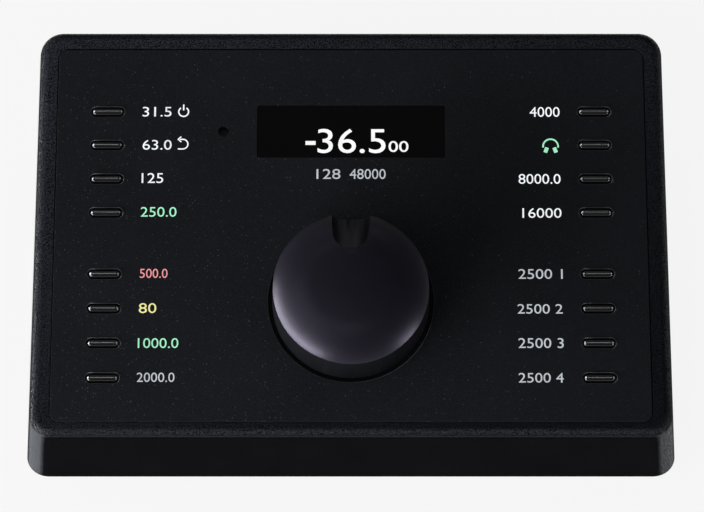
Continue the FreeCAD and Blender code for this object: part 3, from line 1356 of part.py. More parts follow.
def make_board_sockets():
    """The network, USB and power sockets that stand on the main board."""
    network = new_body("network_socket")
    case = rear_sketch(network, "network_outline", "socket_rise")
    rectangle(case, "network_width", "network_height")
    pad(network, "case", case, "network_depth + socket_rise")
    mouth = rear_sketch(network, "mouth_outline", "socket_rise")
    rectangle(mouth, "network_mouth_width", "network_mouth_height")
    pocket(network, "mouth", mouth, "network_mouth_depth", reverse=True)
    keyway = rear_sketch(network, "keyway_outline", "socket_rise")
    rectangle(keyway, "latch_width", "latch_height", y="-(network_mouth_height + latch_height) / 2")
    pocket(network, "keyway", keyway, "network_mouth_depth", reverse=True)
    place_at_rear(network, "network_x", "network_z")

    usb = new_body("usb_socket")
    shell = rear_sketch(usb, "usb_outline", "socket_rise")
    pill(shell, "usb_width", "usb_height")
    pad(usb, "shell", shell, "usb_depth + socket_rise")
    hollow = rear_sketch(usb, "usb_hollow_outline", "socket_rise")
    pill(hollow, "usb_width - 2 * usb_shell", "usb_height - 2 * usb_shell")
    rectangle(hollow, "usb_width - 2 * usb_shell - usb_height", "usb_tongue")
    pocket(usb, "hollow", hollow, "usb_depth", reverse=True)
    place_at_rear(usb, "usb_x", "usb_z")

    inlet = new_body("dc_socket")
    case = rear_sketch(inlet, "inlet_outline", "socket_rise")
    rectangle(case, "dc_width", "dc_height")
    pad(inlet, "case", case, "dc_depth + socket_rise")
    mouth = rear_sketch(inlet, "inlet_mouth_outline", "socket_rise")
    circle(mouth, "dc_bore_radius")
    pocket(inlet, "mouth", mouth, "dc_bore_depth", reverse=True)
    pin = rear_sketch(inlet, "pin_outline", "socket_rise - dc_bore_depth")
    circle(pin, "dc_pin_radius")
    pad(inlet, "pin", pin, "dc_bore_depth - dc_pin_setback", reverse=True)
    place_at_rear(inlet, "dc_x", "dc_z")


make_housing()
make_control_panel()
make_display()
make_microphone()
make_baffle()
make_key_mat()
make_panel_board()
make_keys()
make_encoder()
make_knob()
make_base()
make_main_board()
make_rear_panel()
for label, x in COMBOS:
    make_combo(label, x)
make_socket_screws()
for label, x, z in JACKS:
    make_jack(label, x, z)
make_jack_nuts()
make_board_sockets()
doc.recompute()

# ---- check and export -------------------------------------------------------------------------------

for item in doc.Objects:
    if "Invalid" in item.State or "Error" in item.State:
        raise RuntimeError(f"{item.Label} ({item.TypeId}) failed: {item.State}")
for part in parts:
    if part.Shape.isNull() or not part.Shape.isValid() or not part.Shape.Solids:
        raise RuntimeError(f"{part.Label} has no valid solid")

os.makedirs("parts", exist_ok=True)
for part in parts:
    part.Shape.exportStep(f"parts/{part.Label}.step")
print(len(parts), "pieces written")
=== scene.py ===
import json
import math

import bpy
from mathutils import Matrix, Vector


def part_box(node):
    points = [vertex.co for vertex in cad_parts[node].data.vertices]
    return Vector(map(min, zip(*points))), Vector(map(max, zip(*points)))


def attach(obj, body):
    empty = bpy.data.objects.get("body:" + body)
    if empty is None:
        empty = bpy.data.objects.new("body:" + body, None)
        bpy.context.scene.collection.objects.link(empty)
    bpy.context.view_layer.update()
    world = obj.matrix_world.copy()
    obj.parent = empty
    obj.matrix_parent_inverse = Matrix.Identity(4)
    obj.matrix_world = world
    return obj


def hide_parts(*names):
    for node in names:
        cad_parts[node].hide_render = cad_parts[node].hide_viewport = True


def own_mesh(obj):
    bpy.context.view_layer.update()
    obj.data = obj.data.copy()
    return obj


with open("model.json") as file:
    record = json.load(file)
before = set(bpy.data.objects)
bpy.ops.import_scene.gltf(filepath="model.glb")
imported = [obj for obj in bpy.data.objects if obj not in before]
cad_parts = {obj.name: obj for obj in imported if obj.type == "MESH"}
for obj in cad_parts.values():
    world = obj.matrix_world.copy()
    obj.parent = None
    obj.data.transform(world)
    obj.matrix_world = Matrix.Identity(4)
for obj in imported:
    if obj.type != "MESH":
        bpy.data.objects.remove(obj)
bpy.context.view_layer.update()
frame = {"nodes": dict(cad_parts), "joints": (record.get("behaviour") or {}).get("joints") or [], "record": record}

# Desktop studio monitor controller: its finishes, its printed and lit marks, the turned knob, the
# domes under the keys, and the fine detail of screws and sockets.
# The scene is in metres. Sizes are written in millimetres, and MM scales them.

MM = 0.001
MILLIMETRES = Matrix.Scale(MM, 4)
nodes = frame["nodes"]


# ---- the panel's own frame: x to the right, y up the slope, z out of the panel ------------------

KNOB_BELOW_MIDDLE = 21.7 * MM

knob_turn = next(joint for joint in frame["joints"] if joint["name"] == "knob_turn")
panel_right = Vector((1, 0, 0))
panel_normal = Vector(knob_turn["axis"])
panel_upwards = panel_normal.cross(panel_right)
panel_middle = Vector(knob_turn["pos_m"]) + panel_upwards * KNOB_BELOW_MIDDLE
PANEL = Matrix.Translation(panel_middle) @ Matrix(
    (panel_right, panel_upwards, panel_normal)).transposed().to_4x4()


def on_panel(x, y, z=0.0):
    """A place of the panel's frame, in millimetres, as a point of the object's frame."""
    return PANEL @ (Vector((x, y, z)) * MM)


# ---- camera -------------------------------------------------------------------------------------

# The camera looks at the panel from its front side, tilted from the panel's normal.
IMAGE_WIDTH = 704
FOCAL_LENGTH_IN_PIXELS = 3219.7
SENSOR_WIDTH = 36.0
CAMERA_DISTANCE = 974.5
CAMERA_TILT = math.radians(16.5)
AIM_X, AIM_Y = 0.33, -7.375
# The nearest and the farthest that it sees, in metres.
SEES_FROM, SEES_TO = 0.05, 20

lens = bpy.data.cameras.new("camera")
lens.sensor_width = SENSOR_WIDTH
lens.lens = SENSOR_WIDTH * FOCAL_LENGTH_IN_PIXELS / IMAGE_WIDTH
lens.clip_start, lens.clip_end = SEES_FROM, SEES_TO
camera = bpy.data.objects.new("camera", lens)
bpy.context.scene.collection.objects.link(camera)
bpy.context.scene.camera = camera
camera.location = on_panel(AIM_X, AIM_Y - CAMERA_DISTANCE * math.sin(CAMERA_TILT),
                           CAMERA_DISTANCE * math.cos(CAMERA_TILT))
sight = on_panel(AIM_X, AIM_Y) - camera.location
camera.rotation_euler = sight.to_track_quat("-Z", "Y").to_euler()

bpy.context.scene.view_settings.view_transform = "Standard"


# ---- materials ----------------------------------------------------------------------------------

# Between these levels lies nearly all of a fractal noise.
NOISE_LOW, NOISE_HIGH = 0.3, 0.7
# Numbers of the Mix node's sockets for two colours and their mixture.
MIX_FIRST, MIX_SECOND, MIX_RESULT = 6, 7, 2


def srgb(code):
    """An sRGB hex colour as linear red, green, blue and alpha."""
    parts = [int(code[i:i + 2], 16) / 255 for i in (0, 2, 4)]
    return [p / 12.92 if p <= 0.04045 else ((p + 0.055) / 1.055) ** 2.4 for p in parts] + [1.0]


def add(tree, kind, inputs=None, **settings):
    """Add a shader node. Each input has its name or number, and a value or the socket it reads."""
    made = tree.nodes.new("ShaderNode" + kind)
    for name, value in settings.items():
        setattr(made, name, value)
    for name, value in (inputs or {}).items():
        if isinstance(value, bpy.types.NodeSocket):
            tree.links.new(value, made.inputs[name])
        else:
            made.inputs[name].default_value = value
    return made


def new_material(name):
    """An empty material: it, its node tree and the Object coordinates that its patterns follow."""
    material = bpy.data.materials.new(name)
    material.use_nodes = True
    tree = material.node_tree
    tree.nodes.clear()
    return material, tree, add(tree, "TexCoord").outputs["Object"]


def per_metre(size):
    """Noise scale whose features are about this many millimetres across."""
    return 1 / (size * MM)


def two_tones(tree, noise, dark, light):
    """A noise spread over 0 to 1, and the colour that it blends from two near tones."""
    level = add(tree, "MapRange", {"Value": noise, "From Min": NOISE_LOW,
                                   "From Max": NOISE_HIGH}).outputs[0]
    colour = add(tree, "Mix", {0: level, MIX_FIRST: srgb(dark), MIX_SECOND: srgb(light)},
                 data_type="RGBA").outputs[MIX_RESULT]
    return level, colour


def housing_powder_coat():
    """Powder coat on cast aluminium, a fine textured black: its cured grit scatters the light, so
    the walls are matt. The faces that look up carry painted light: they are lighter, most at the
    back left. Hands have smoothed the grit of the rounded edges, so that its coat glitters there;
    the upper edges also carry a painted highlight, and the upright corners a painted grey one."""
    material, tree, place = new_material("textured_powder_coat")
    # The real grit of 0.2 to 0.3 mm is drawn a little coarser, so that its glitter shows.
    grit = add(tree, "TexNoise", {"Vector": place, "Scale": per_metre(0.38),
                                  "Detail": 2.0}).outputs[0]
    tips = add(tree, "MapRange", {"Value": grit, "From Min": 0.38, "From Max": 0.62}).outputs[0]
    patches = add(tree, "TexNoise", {"Vector": place, "Scale": per_metre(12)}).outputs[0]
    _, clean = two_tones(tree, patches, "050507", "08080a")
    normal = add(tree, "NewGeometry").outputs["Normal"]
    upward = add(tree, "SeparateXYZ", {"Vector": normal}).outputs["Z"]

    # Painted light: the faces that look up are lighter, most at the back left, and most on the tips of the grit.
    axes = add(tree, "SeparateXYZ", {"Vector": place})
    back_left = add(tree, "Math", {0: axes.outputs["X"], 1: -0.5, 2: axes.outputs["Y"]},
                    operation="MULTIPLY_ADD").outputs[0]
    lit_towards_back_left = add(tree, "MapRange", {"Value": back_left, "From Min": -80 * MM,
                                     "From Max": 80 * MM}).outputs[0]
    grey = add(tree, "Mix", {0: lit_towards_back_left, MIX_FIRST: srgb("1c1e22"), MIX_SECOND: srgb("373940")},
               data_type="RGBA").outputs[MIX_RESULT]
    painted_top_light = add(tree, "Mix", {0: tips, MIX_FIRST: srgb("0b0c0f"), MIX_SECOND: grey},
               data_type="RGBA").outputs[MIX_RESULT]
    faces_up = add(tree, "MapRange", {"Value": upward, "From Min": 0.5,
                                     "From Max": 0.8}).outputs[0]
    colour = add(tree, "Mix", {0: faces_up, MIX_FIRST: clean, MIX_SECOND: painted_top_light},
                 data_type="RGBA").outputs[MIX_RESULT]

    # A face that looks along none of the three axes belongs to a rounded edge.
    sides = add(tree, "VectorMath", {0: normal}, operation="ABSOLUTE").outputs[0]
    sides = add(tree, "SeparateXYZ", {"Vector": sides})
    level = add(tree, "Math", {0: sides.outputs["X"], 1: sides.outputs["Y"]},
                operation="MAXIMUM").outputs[0]
    level = add(tree, "Math", {0: level, 1: sides.outputs["Z"]}, operation="MAXIMUM").outputs[0]
    rounded_edge = add(tree, "MapRange", {"Value": level, "From Min": 0.96,
                                     "From Max": 0.88}).outputs[0]

    # Painted highlights: the upper edges are lighter on the grit's tips, and the upright corners are painted grey.
    painted_edge_glint = add(tree, "Mix", {0: tips, MIX_FIRST: srgb("08090b"), MIX_SECOND: srgb("303236")},
                 data_type="RGBA").outputs[MIX_RESULT]
    upper = add(tree, "MapRange", {"Value": upward, "From Min": 0.35, "From Max": 0.8}).outputs[0]
    upper = add(tree, "Math", {0: rounded_edge, 1: upper}, operation="MULTIPLY").outputs[0]
    colour = add(tree, "Mix", {0: upper, MIX_FIRST: colour, MIX_SECOND: painted_edge_glint},
                 data_type="RGBA").outputs[MIX_RESULT]
    standing = add(tree, "MapRange", {"Value": upward, "From Min": 0.3, "From Max": 0.5,
                                      "To Min": 1.0, "To Max": 0.0}).outputs[0]
    corner = add(tree, "Math", {0: rounded_edge, 1: standing}, operation="MULTIPLY").outputs[0]
    colour = add(tree, "Mix", {0: corner, MIX_FIRST: colour, MIX_SECOND: srgb("3a3c40")},
                 data_type="RGBA").outputs[MIX_RESULT]

    # On both, the rubbed tips shine and the hollows between them stay dull.
    peaks = add(tree, "MapRange", {"Value": grit, "From Min": 0.5, "From Max": 0.58,
                                   "To Min": 0.03, "To Max": 0.7}).outputs[0]
    polish = add(tree, "Math", {0: upper, 1: corner}, operation="MAXIMUM").outputs[0]
    polish = add(tree, "Math", {0: polish, 1: peaks}, operation="MULTIPLY").outputs[0]
    rough = add(tree, "MapRange", {"Value": grit, "From Min": NOISE_LOW, "From Max": NOISE_HIGH,
                                   "To Min": 0.55, "To Max": 0.42}).outputs[0]
    bump = add(tree, "Bump", {"Height": grit, "Strength": 0.9,
                              "Distance": 0.16 * MM}).outputs[0]
    shader = add(tree, "BsdfPrincipled", {
        "Base Color": colour, "Roughness": rough, "Normal": bump, "Specular IOR Level": 0.01,
        "Coat Weight": polish, "Coat Roughness": 0.18, "Coat Normal": bump})
    add(tree, "OutputMaterial", {"Surface": shader.outputs[0]})
    return material


def panel_paint():
    """Matt black paint sprayed on the aluminium face plate: an even, very fine grain, and light
    specks, most of them at the front left."""
    material, tree, place = new_material("matt_panel_paint")
    grain = add(tree, "TexNoise", {"Vector": place, "Scale": per_metre(0.4),
                                   "Detail": 3.0}).outputs[0]
    patches = add(tree, "TexNoise", {"Vector": place, "Scale": per_metre(25)}).outputs[0]
    _, tone = two_tones(tree, patches, "121418", "16181c")
    fleck = add(tree, "MapRange", {"Value": grain, "From Min": 0.5,
                                   "From Max": NOISE_HIGH}).outputs[0]
    ground = add(tree, "Mix", {0: fleck, MIX_FIRST: tone, MIX_SECOND: srgb("24252a")},
                 data_type="RGBA").outputs[MIX_RESULT]

    # One soft speck of up to 0.4 mm may lie in each cell of 0.8 mm; the further right and back,
    # the fewer cells hold one.
    cells = add(tree, "TexVoronoi", {"Vector": place, "Scale": per_metre(0.8),
                                     "Randomness": 1.0})
    chance = add(tree, "SeparateColor", {"Color": cells.outputs["Color"]})
    draw, reach = chance.outputs[0], chance.outputs[1]
    reach = add(tree, "MapRange", {"Value": reach, "To Min": 0.1, "To Max": 0.26}).outputs[0]
    near = add(tree, "MapRange", {"Value": cells.outputs["Distance"], "From Min": 0.02,
                                  "From Max": reach, "To Min": 1.0, "To Max": 0.0}).outputs[0]
    axes = add(tree, "SeparateXYZ", {"Vector": place})
    back_right = add(tree, "Math", {0: axes.outputs["Y"], 1: 0.6, 2: axes.outputs["X"]},
                     operation="MULTIPLY_ADD").outputs[0]
    least = add(tree, "MapRange", {"Value": back_right, "From Min": -100 * MM,
                                   "From Max": 50 * MM, "To Min": 0.5, "To Max": 0.95}).outputs[0]
    kept = add(tree, "Math", {0: draw, 1: least}, operation="GREATER_THAN").outputs[0]
    speck = add(tree, "Math", {0: near, 1: kept}, operation="MULTIPLY").outputs[0]
    colour = add(tree, "Mix", {0: speck, MIX_FIRST: ground, MIX_SECOND: srgb("6c6e76")},
                 data_type="RGBA").outputs[MIX_RESULT]

    # Painted highlight: the broken edges of the openings, neither the flat face nor the walls, are
    # painted a lighter grey. The plate's outer edge, down in the seam, is left dark.
    upright = add(tree, "VectorMath", {0: add(tree, "NewGeometry").outputs["Normal"],
                                       1: panel_normal}, operation="DOT_PRODUCT").outputs["Value"]
    off_face = add(tree, "MapRange", {"Value": upright, "From Min": 0.97,
                                      "From Max": 0.85}).outputs[0]
    off_wall = add(tree, "MapRange", {"Value": upright, "From Min": 0.2,
                                      "From Max": 0.4}).outputs[0]
    edge = add(tree, "Math", {0: off_face, 1: off_wall}, operation="MULTIPLY").outputs[0]
    low_corner, high_corner = [Vector(corner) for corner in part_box("control_panel")]
    inwards = add(tree, "VectorMath", {0: place, 1: (low_corner + high_corner) / 2},
                  operation="SUBTRACT").outputs[0]
    inwards = add(tree, "VectorMath", {0: inwards}, operation="ABSOLUTE").outputs[0]
    inwards = add(tree, "VectorMath", {0: (high_corner - low_corner) / 2, 1: inwards},
                  operation="SUBTRACT").outputs[0]
    inwards = add(tree, "SeparateXYZ", {"Vector": inwards})
    margin = add(tree, "Math", {0: inwards.outputs["X"], 1: inwards.outputs["Y"]},
                 operation="MINIMUM").outputs[0]
    inner = add(tree, "MapRange", {"Value": margin, "From Min": 1.2 * MM,
                                   "From Max": 2.0 * MM}).outputs[0]
    edge = add(tree, "Math", {0: edge, 1: inner}, operation="MULTIPLY").outputs[0]
    colour = add(tree, "Mix", {0: edge, MIX_FIRST: colour, MIX_SECOND: srgb("585a60")},
                 data_type="RGBA").outputs[MIX_RESULT]

    rough = add(tree, "MapRange", {"Value": grain, "From Min": NOISE_LOW, "From Max": NOISE_HIGH,
                                   "To Min": 0.5, "To Max": 0.62}).outputs[0]
    bump = add(tree, "Bump", {"Height": grain, "Strength": 0.4,
                              "Distance": 0.05 * MM}).outputs[0]
    shader = add(tree, "BsdfPrincipled", {"Base Color": colour, "Roughness": rough,
                                          "Normal": bump, "Specular IOR Level": 0.12})
    add(tree, "OutputMaterial", {"Surface": shader.outputs[0]})
    return material


def knob_anodising():
    """Aluminium, turned, finely blasted and dyed a violet black in the anodising bath: the sealed
    dye hides the metal's own colour, and the blasted surface spreads each lamp to a soft satin
    band. The side all round is a plainer, darker black."""
    material, tree, place = new_material("dyed_anodising")
    blast = add(tree, "TexNoise", {"Vector": place, "Scale": per_metre(0.3),
                                   "Detail": 3.0}).outputs[0]
    patches = add(tree, "TexNoise", {"Vector": place, "Scale": per_metre(14)}).outputs[0]
    _, colour = two_tones(tree, patches, "14131a", "17161e")
    upright = add(tree, "VectorMath", {0: add(tree, "NewGeometry").outputs["Normal"],
                                       1: panel_normal}, operation="DOT_PRODUCT").outputs["Value"]
    grip = add(tree, "MapRange", {"Value": upright, "From Min": 0.2, "From Max": 0.5,
                                  "To Min": 1.0, "To Max": 0.0}).outputs[0]
    colour = add(tree, "Mix", {0: grip, MIX_FIRST: colour, MIX_SECOND: srgb("0e1012")},
                 data_type="RGBA").outputs[MIX_RESULT]
    rough = add(tree, "MapRange", {"Value": blast, "From Min": NOISE_LOW, "From Max": NOISE_HIGH,
                                   "To Min": 0.31, "To Max": 0.37}).outputs[0]
    bump = add(tree, "Bump", {"Height": blast, "Strength": 0.1,
                              "Distance": 0.03 * MM}).outputs[0]
    shader = add(tree, "BsdfPrincipled", {
        "Base Color": colour, "Roughness": rough, "Normal": bump,
        "Specular IOR Level": 0.3, "Specular Tint": srgb("ebe2ff")})
    add(tree, "OutputMaterial", {"Surface": shader.outputs[0]})
    return material


# How far the painted highlight at each tip of a key's ridge leans outwards, as a tangent.
KEY_TIP_LEAN = 0.58


def key_plastic():
    """Black ABS caps from a polished mould: glossy, with the faint ripple of moulded plastic.
    A fine light line along the ridge and a light patch at each of its ends are painted
    highlights."""
    material, tree, place = new_material("polished_abs")
    ripple = add(tree, "TexNoise", {"Vector": place, "Scale": per_metre(0.8)}).outputs[0]
    level, colour = two_tones(tree, ripple, "09090b", "0c0c0e")
    normal = add(tree, "NewGeometry").outputs["Normal"]
    # Painted highlights: a light line along the ridge and a light patch at each of its ends.
    ridge = add(tree, "VectorMath", {0: normal, 1: panel_normal},
                operation="DOT_PRODUCT").outputs["Value"]
    painted_highlight = add(tree, "MapRange", {"Value": ridge, "From Min": 0.996, "From Max": 0.999,
                                  "To Max": 0.5}).outputs[0]
    for end in (-1, 1):
        tip = (panel_normal + panel_right * end * KEY_TIP_LEAN).normalized()
        towards = add(tree, "VectorMath", {0: normal, 1: tip},
                      operation="DOT_PRODUCT").outputs["Value"]
        tip_highlight = add(tree, "MapRange", {"Value": towards, "From Min": 0.955,
                                      "From Max": 0.985}).outputs[0]
        painted_highlight = add(tree, "Math", {0: painted_highlight, 1: tip_highlight}, operation="MAXIMUM").outputs[0]
    colour = add(tree, "Mix", {0: painted_highlight, MIX_FIRST: colour, MIX_SECOND: srgb("c4c6ca")},
                 data_type="RGBA").outputs[MIX_RESULT]
    rough = add(tree, "MapRange", {"Value": level, "To Min": 0.12, "To Max": 0.16}).outputs[0]
    shader = add(tree, "BsdfPrincipled", {"Base Color": colour, "Roughness": rough})
    add(tree, "OutputMaterial", {"Surface": shader.outputs[0]})
    return material


def display_glass():
    """Black-tinted acrylic cover, cast and polished, so dark that only its reading shows."""
    material, tree, place = new_material("tinted_acrylic")
    haze = add(tree, "TexNoise", {"Vector": place, "Scale": per_metre(25)}).outputs[0]
    level, colour = two_tones(tree, haze, "040406", "060607")
    rough = add(tree, "MapRange", {"Value": level, "To Min": 0.05, "To Max": 0.09}).outputs[0]
    shader = add(tree, "BsdfPrincipled", {"Base Color": colour, "Roughness": rough,
                                          "Specular IOR Level": 0.2})
    add(tree, "OutputMaterial", {"Surface": shader.outputs[0]})
    return material


# How far the roughness of a textured part goes up and down.
ROUGHNESS_SPREAD = 0.06


def textured(name, dark, light, rough, size, metallic=0.0, height=0.05, shine=0.5):
    """A moulded, painted or plated part: two near tones, its roughness, the size and height of its
    texture in millimetres, and its specular level."""
    material, tree, place = new_material(name)
    texture = add(tree, "TexNoise", {"Vector": place, "Scale": per_metre(size),
                                     "Detail": 3.0}).outputs[0]
    level, colour = two_tones(tree, texture, dark, light)
    spread = add(tree, "MapRange", {"Value": level, "To Min": rough - ROUGHNESS_SPREAD,
                                    "To Max": rough + ROUGHNESS_SPREAD}).outputs[0]
    bump = add(tree, "Bump", {"Height": texture, "Strength": 0.2,
                              "Distance": height * MM}).outputs[0]
    shader = add(tree, "BsdfPrincipled", {
        "Base Color": colour, "Roughness": spread, "Normal": bump,
        "Metallic": metallic, "Specular IOR Level": shine})
    add(tree, "OutputMaterial", {"Surface": shader.outputs[0]})
    return material


def lit_print(name, code):
    """Translucent ink in a gap of the paint, lit from behind: it shows in its own colour, a little
    uneven where the lamp behind it sits."""
    material, tree, place = new_material(name)
    lamp = add(tree, "TexNoise", {"Vector": place, "Scale": per_metre(5)}).outputs[0]
    glow = add(tree, "MapRange", {"Value": lamp, "From Min": NOISE_LOW, "From Max": NOISE_HIGH,
                                  "To Min": 0.9, "To Max": 1.1}).outputs[0]
    shader = add(tree, "BsdfPrincipled", {"Base Color": srgb("101012"), "Roughness": 0.5,
                                          "Emission Color": srgb(code),
                                          "Emission Strength": glow})
    add(tree, "OutputMaterial", {"Surface": shader.outputs[0]})
    return material


FINISHES = {
    "housing_paint": housing_powder_coat(),
    "panel_paint": panel_paint(),
    "knob_aluminium": knob_anodising(),
    "key_plastic": key_plastic(),
    "display_glass": display_glass(),
    # moulded ABS, from spark-eroded moulds: an even fine matt
    "display_module": textured("frame_abs", "0c0c0d", "101011", 0.5, 0.6),
    "white_plastic": textured("baffle_abs", "d8d6cf", "e0ded8", 0.5, 0.5),
    # moulded glass-filled nylon: a touch greyer and duller than ABS
    "black_plastic": textured("socket_nylon", "111112", "161618", 0.42, 0.4),
    # moulded silicone rubber and natural rubber: soft, dull skins
    "silicone": textured("mat_silicone", "a8a8a2", "b4b4ae", 0.6, 0.8),
    "rubber": textured("foot_rubber", "0e0e0f", "131314", 0.72, 0.5),
    # glass-epoxy board under screen-printed solder resist: glossy green over the weave
    "circuit_board": textured("solder_resist", "0f3a22", "14452a", 0.35, 1.5),
    # zinc-plated steel and turned brass: faint marks of the tool under the shine
    "steel": textured("zinc_plated_steel", "8d8e90", "a4a5a8", 0.32, 0.6, 1.0, 0.02),
    "brass": textured("turned_brass", "b08a45", "c49c52", 0.3, 0.5, 1.0, 0.02),
    # steel sheet under baked black paint: smoother than the housing
    "base_paint": textured("baked_base_paint", "131314", "18181a", 0.5, 0.35, shine=0.2),
    "rear_paint": textured("baked_rear_paint", "121214", "17171a", 0.52, 0.3, shine=0.25),
    # flat cable in extruded PVC
    "ribbon": textured("ribbon_pvc", "84868c", "93959b", 0.45, 1.0),
    # nickel plate on brass and on drawn steel shells
    "nickel": textured("nickel_plate", "a7a39a", "bcb8ae", 0.24, 0.5, 1.0, 0.02),
}

for entry in frame["record"]["subparts"]:
    mesh = nodes[entry["node"]].data
    for index in range(len(mesh.materials)):
        mesh.materials[index] = FINISHES[entry["material_slot"]]

MARK_WHITE = lit_print("ink_white", "eef1f6")
MARK_GREEN = lit_print("ink_green", "a0eac2")
MARK_RED = lit_print("ink_red", "f09a9f")
MARK_YELLOW = lit_print("ink_yellow", "eeeaa2")
MARK_GREY = lit_print("ink_grey", "b9bec4")
READING_WHITE = lit_print("reading_white", "ffffff")


# ---- what the new pieces share ------------------------------------------------------------------

# Points nearer than this lie on each other, in the units that a piece is drawn in.
SEAM = 0.0001
# A face looks along an axis when its normal's share of that axis passes this.
ALONG = 0.9


def choose(piece):
    """Select this piece alone and make it the active one."""
    bpy.ops.object.select_all(action="DESELECT")
    bpy.context.view_layer.objects.active = piece
    piece.select_set(True)


def pick_faces(piece, wanted):
    """Select the faces that pass a test, and nothing else of the piece."""
    mesh = piece.data
    for parts in (mesh.vertices, mesh.edges):
        parts.foreach_set("select", [False] * len(parts))
    for face in mesh.polygons:
        face.select = wanted(face)


def close_seams(piece, seam=SEAM):
    """Merge the points that lie on each other and turn the faces outwards."""
    choose(piece)
    bpy.ops.object.mode_set(mode="EDIT")
    bpy.ops.mesh.select_all(action="SELECT")
    bpy.ops.mesh.remove_doubles(threshold=seam)
    bpy.ops.mesh.normals_make_consistent(inside=False)
    bpy.ops.object.mode_set(mode="OBJECT")


def block(width, depth, height):
    """A box of this size, centred on the origin."""
    bpy.ops.object.select_all(action="DESELECT")
    bpy.ops.mesh.primitive_cube_add(size=1, location=(0, 0, 0), scale=(width, depth, height))
    bpy.ops.object.transform_apply(location=True, rotation=True, scale=True)
    return bpy.context.object


def lathe(name, rings, segments):
    """A closed turned piece about the Z axis, from the middle of its top to the middle of its
    underside. Each ring is a radius and a height."""
    bpy.ops.object.select_all(action="DESELECT")
    bpy.ops.mesh.primitive_circle_add(vertices=segments, radius=rings[0][0], fill_type="NGON",
                                      location=(0, 0, 0))
    piece = bpy.context.object
    piece.name = piece.data.name = name
    bpy.ops.object.mode_set(mode="EDIT")
    bpy.ops.mesh.select_all(action="SELECT")
    bpy.ops.transform.translate(value=(0, 0, rings[0][1]))
    for (radius, height), (next_radius, next_height) in zip(rings, rings[1:]):
        rise = (0, 0, next_height - height)
        bpy.ops.mesh.extrude_edges_move(TRANSFORM_OT_translate={"value": rise})
        share = next_radius / radius
        bpy.ops.transform.resize(value=(share, share, 1), center_override=(0, 0, next_height))
    bpy.ops.mesh.edge_face_add()
    bpy.ops.object.mode_set(mode="OBJECT")
    close_seams(piece)
    return piece


def cut(piece, cutter):
    """Take the cutter's shape out of a piece, which stays the chosen one."""
    choose(piece)
    taken = piece.modifiers.new("cut", "BOOLEAN")
    taken.operation, taken.object, taken.solver = "DIFFERENCE", cutter, "EXACT"
    bpy.ops.object.modifier_apply(modifier=taken.name)
    bpy.data.objects.remove(cutter)


def settle(piece, body, material, matrix):
    """Place a finished piece through its mesh, give it its finish and let it ride on a body."""
    piece.data.transform(matrix)
    piece.data.materials.clear()
    piece.data.materials.append(material)
    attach(piece, body)


# ---- marks on the panel -------------------------------------------------------------------------

PRINT_LIFT = 0.02
PRINT_THICKNESS = 0.03
# The reading lies on the display's glass.
READING_LIFT = 0.03
# Thickness of new words, in the typeface's own units, and how finely their curves are drawn.
TEXT_EXTRUSION, TEXT_STEPS = 0.5, 4
# How finely a wire's section and an arc are drawn.
WIRE_STEPS, ARC_STEPS = 2, 20


def text_mesh(name, words, bold=0.0):
    """Words as a thin closed mesh, lying in the XY plane."""
    bpy.ops.object.select_all(action="DESELECT")
    bpy.ops.object.text_add()
    piece = bpy.context.object
    piece.name = name
    piece.data.body = words
    piece.data.offset = bold
    piece.data.extrude = TEXT_EXTRUSION
    piece.data.resolution_u = TEXT_STEPS
    bpy.ops.object.convert(target="MESH")
    piece.data.name = name
    close_seams(piece)
    return piece


def fit_mark(piece, left, right, low, high, material, lift=PRINT_LIFT):
    """Scale a flat mark to the given edges on the panel, in millimetres."""
    corners = [vertex.co for vertex in piece.data.vertices]
    lowest = Vector([min(corner[axis] for corner in corners) for axis in range(3)])
    highest = Vector([max(corner[axis] for corner in corners) for axis in range(3)])
    size = highest - lowest
    wanted = Vector((right - left, high - low, PRINT_THICKNESS))
    scale = Matrix.Diagonal([wanted[axis] / size[axis] for axis in range(3)]).to_4x4()
    shift = Matrix.Translation(Vector((left, low, lift)))
    settle(piece, "root", material,
           PANEL @ MILLIMETRES @ shift @ scale @ Matrix.Translation(-lowest))


def wires(name, lines, diameter):
    """Round wires along runs of points, as one piece."""
    curve = bpy.data.curves.new(name, "CURVE")
    curve.dimensions = "3D"
    curve.bevel_depth = diameter / 2
    curve.bevel_resolution = WIRE_STEPS
    curve.use_fill_caps = True
    for line in lines:
        spline = curve.splines.new("POLY")
        spline.points.add(len(line) - 1)
        for point, place in zip(spline.points, line):
            point.co = (*place, 1)
    drawn = bpy.data.objects.new(name + "_curve", curve)
    bpy.context.scene.collection.objects.link(drawn)
    mesh = bpy.data.meshes.new_from_object(drawn)
    bpy.data.objects.remove(drawn)
    piece = bpy.data.objects.new(name, mesh)
    bpy.context.scene.collection.objects.link(piece)
    close_seams(piece)
    return piece


def stroke(name, middle, lines, width, material):
    """A pictogram of strokes about its middle on the panel, each a run of points."""
    piece = wires(name, [[(x, y, 0) for x, y in line] for line in lines], width)
    flat = Matrix.Diagonal((1, 1, PRINT_THICKNESS / width)).to_4x4()
    shift = Matrix.Translation((*middle, PRINT_LIFT + PRINT_THICKNESS / 2))
    settle(piece, "root", material, PANEL @ MILLIMETRES @ shift @ flat)


def arc(radius, first, last):
    """Points of an arc about the origin, its angles in degrees."""
    angles = [math.radians(first + (last - first) * step / ARC_STEPS)
              for step in range(ARC_STEPS + 1)]
    return [(radius * math.cos(angle), radius * math.sin(angle)) for angle in angles]


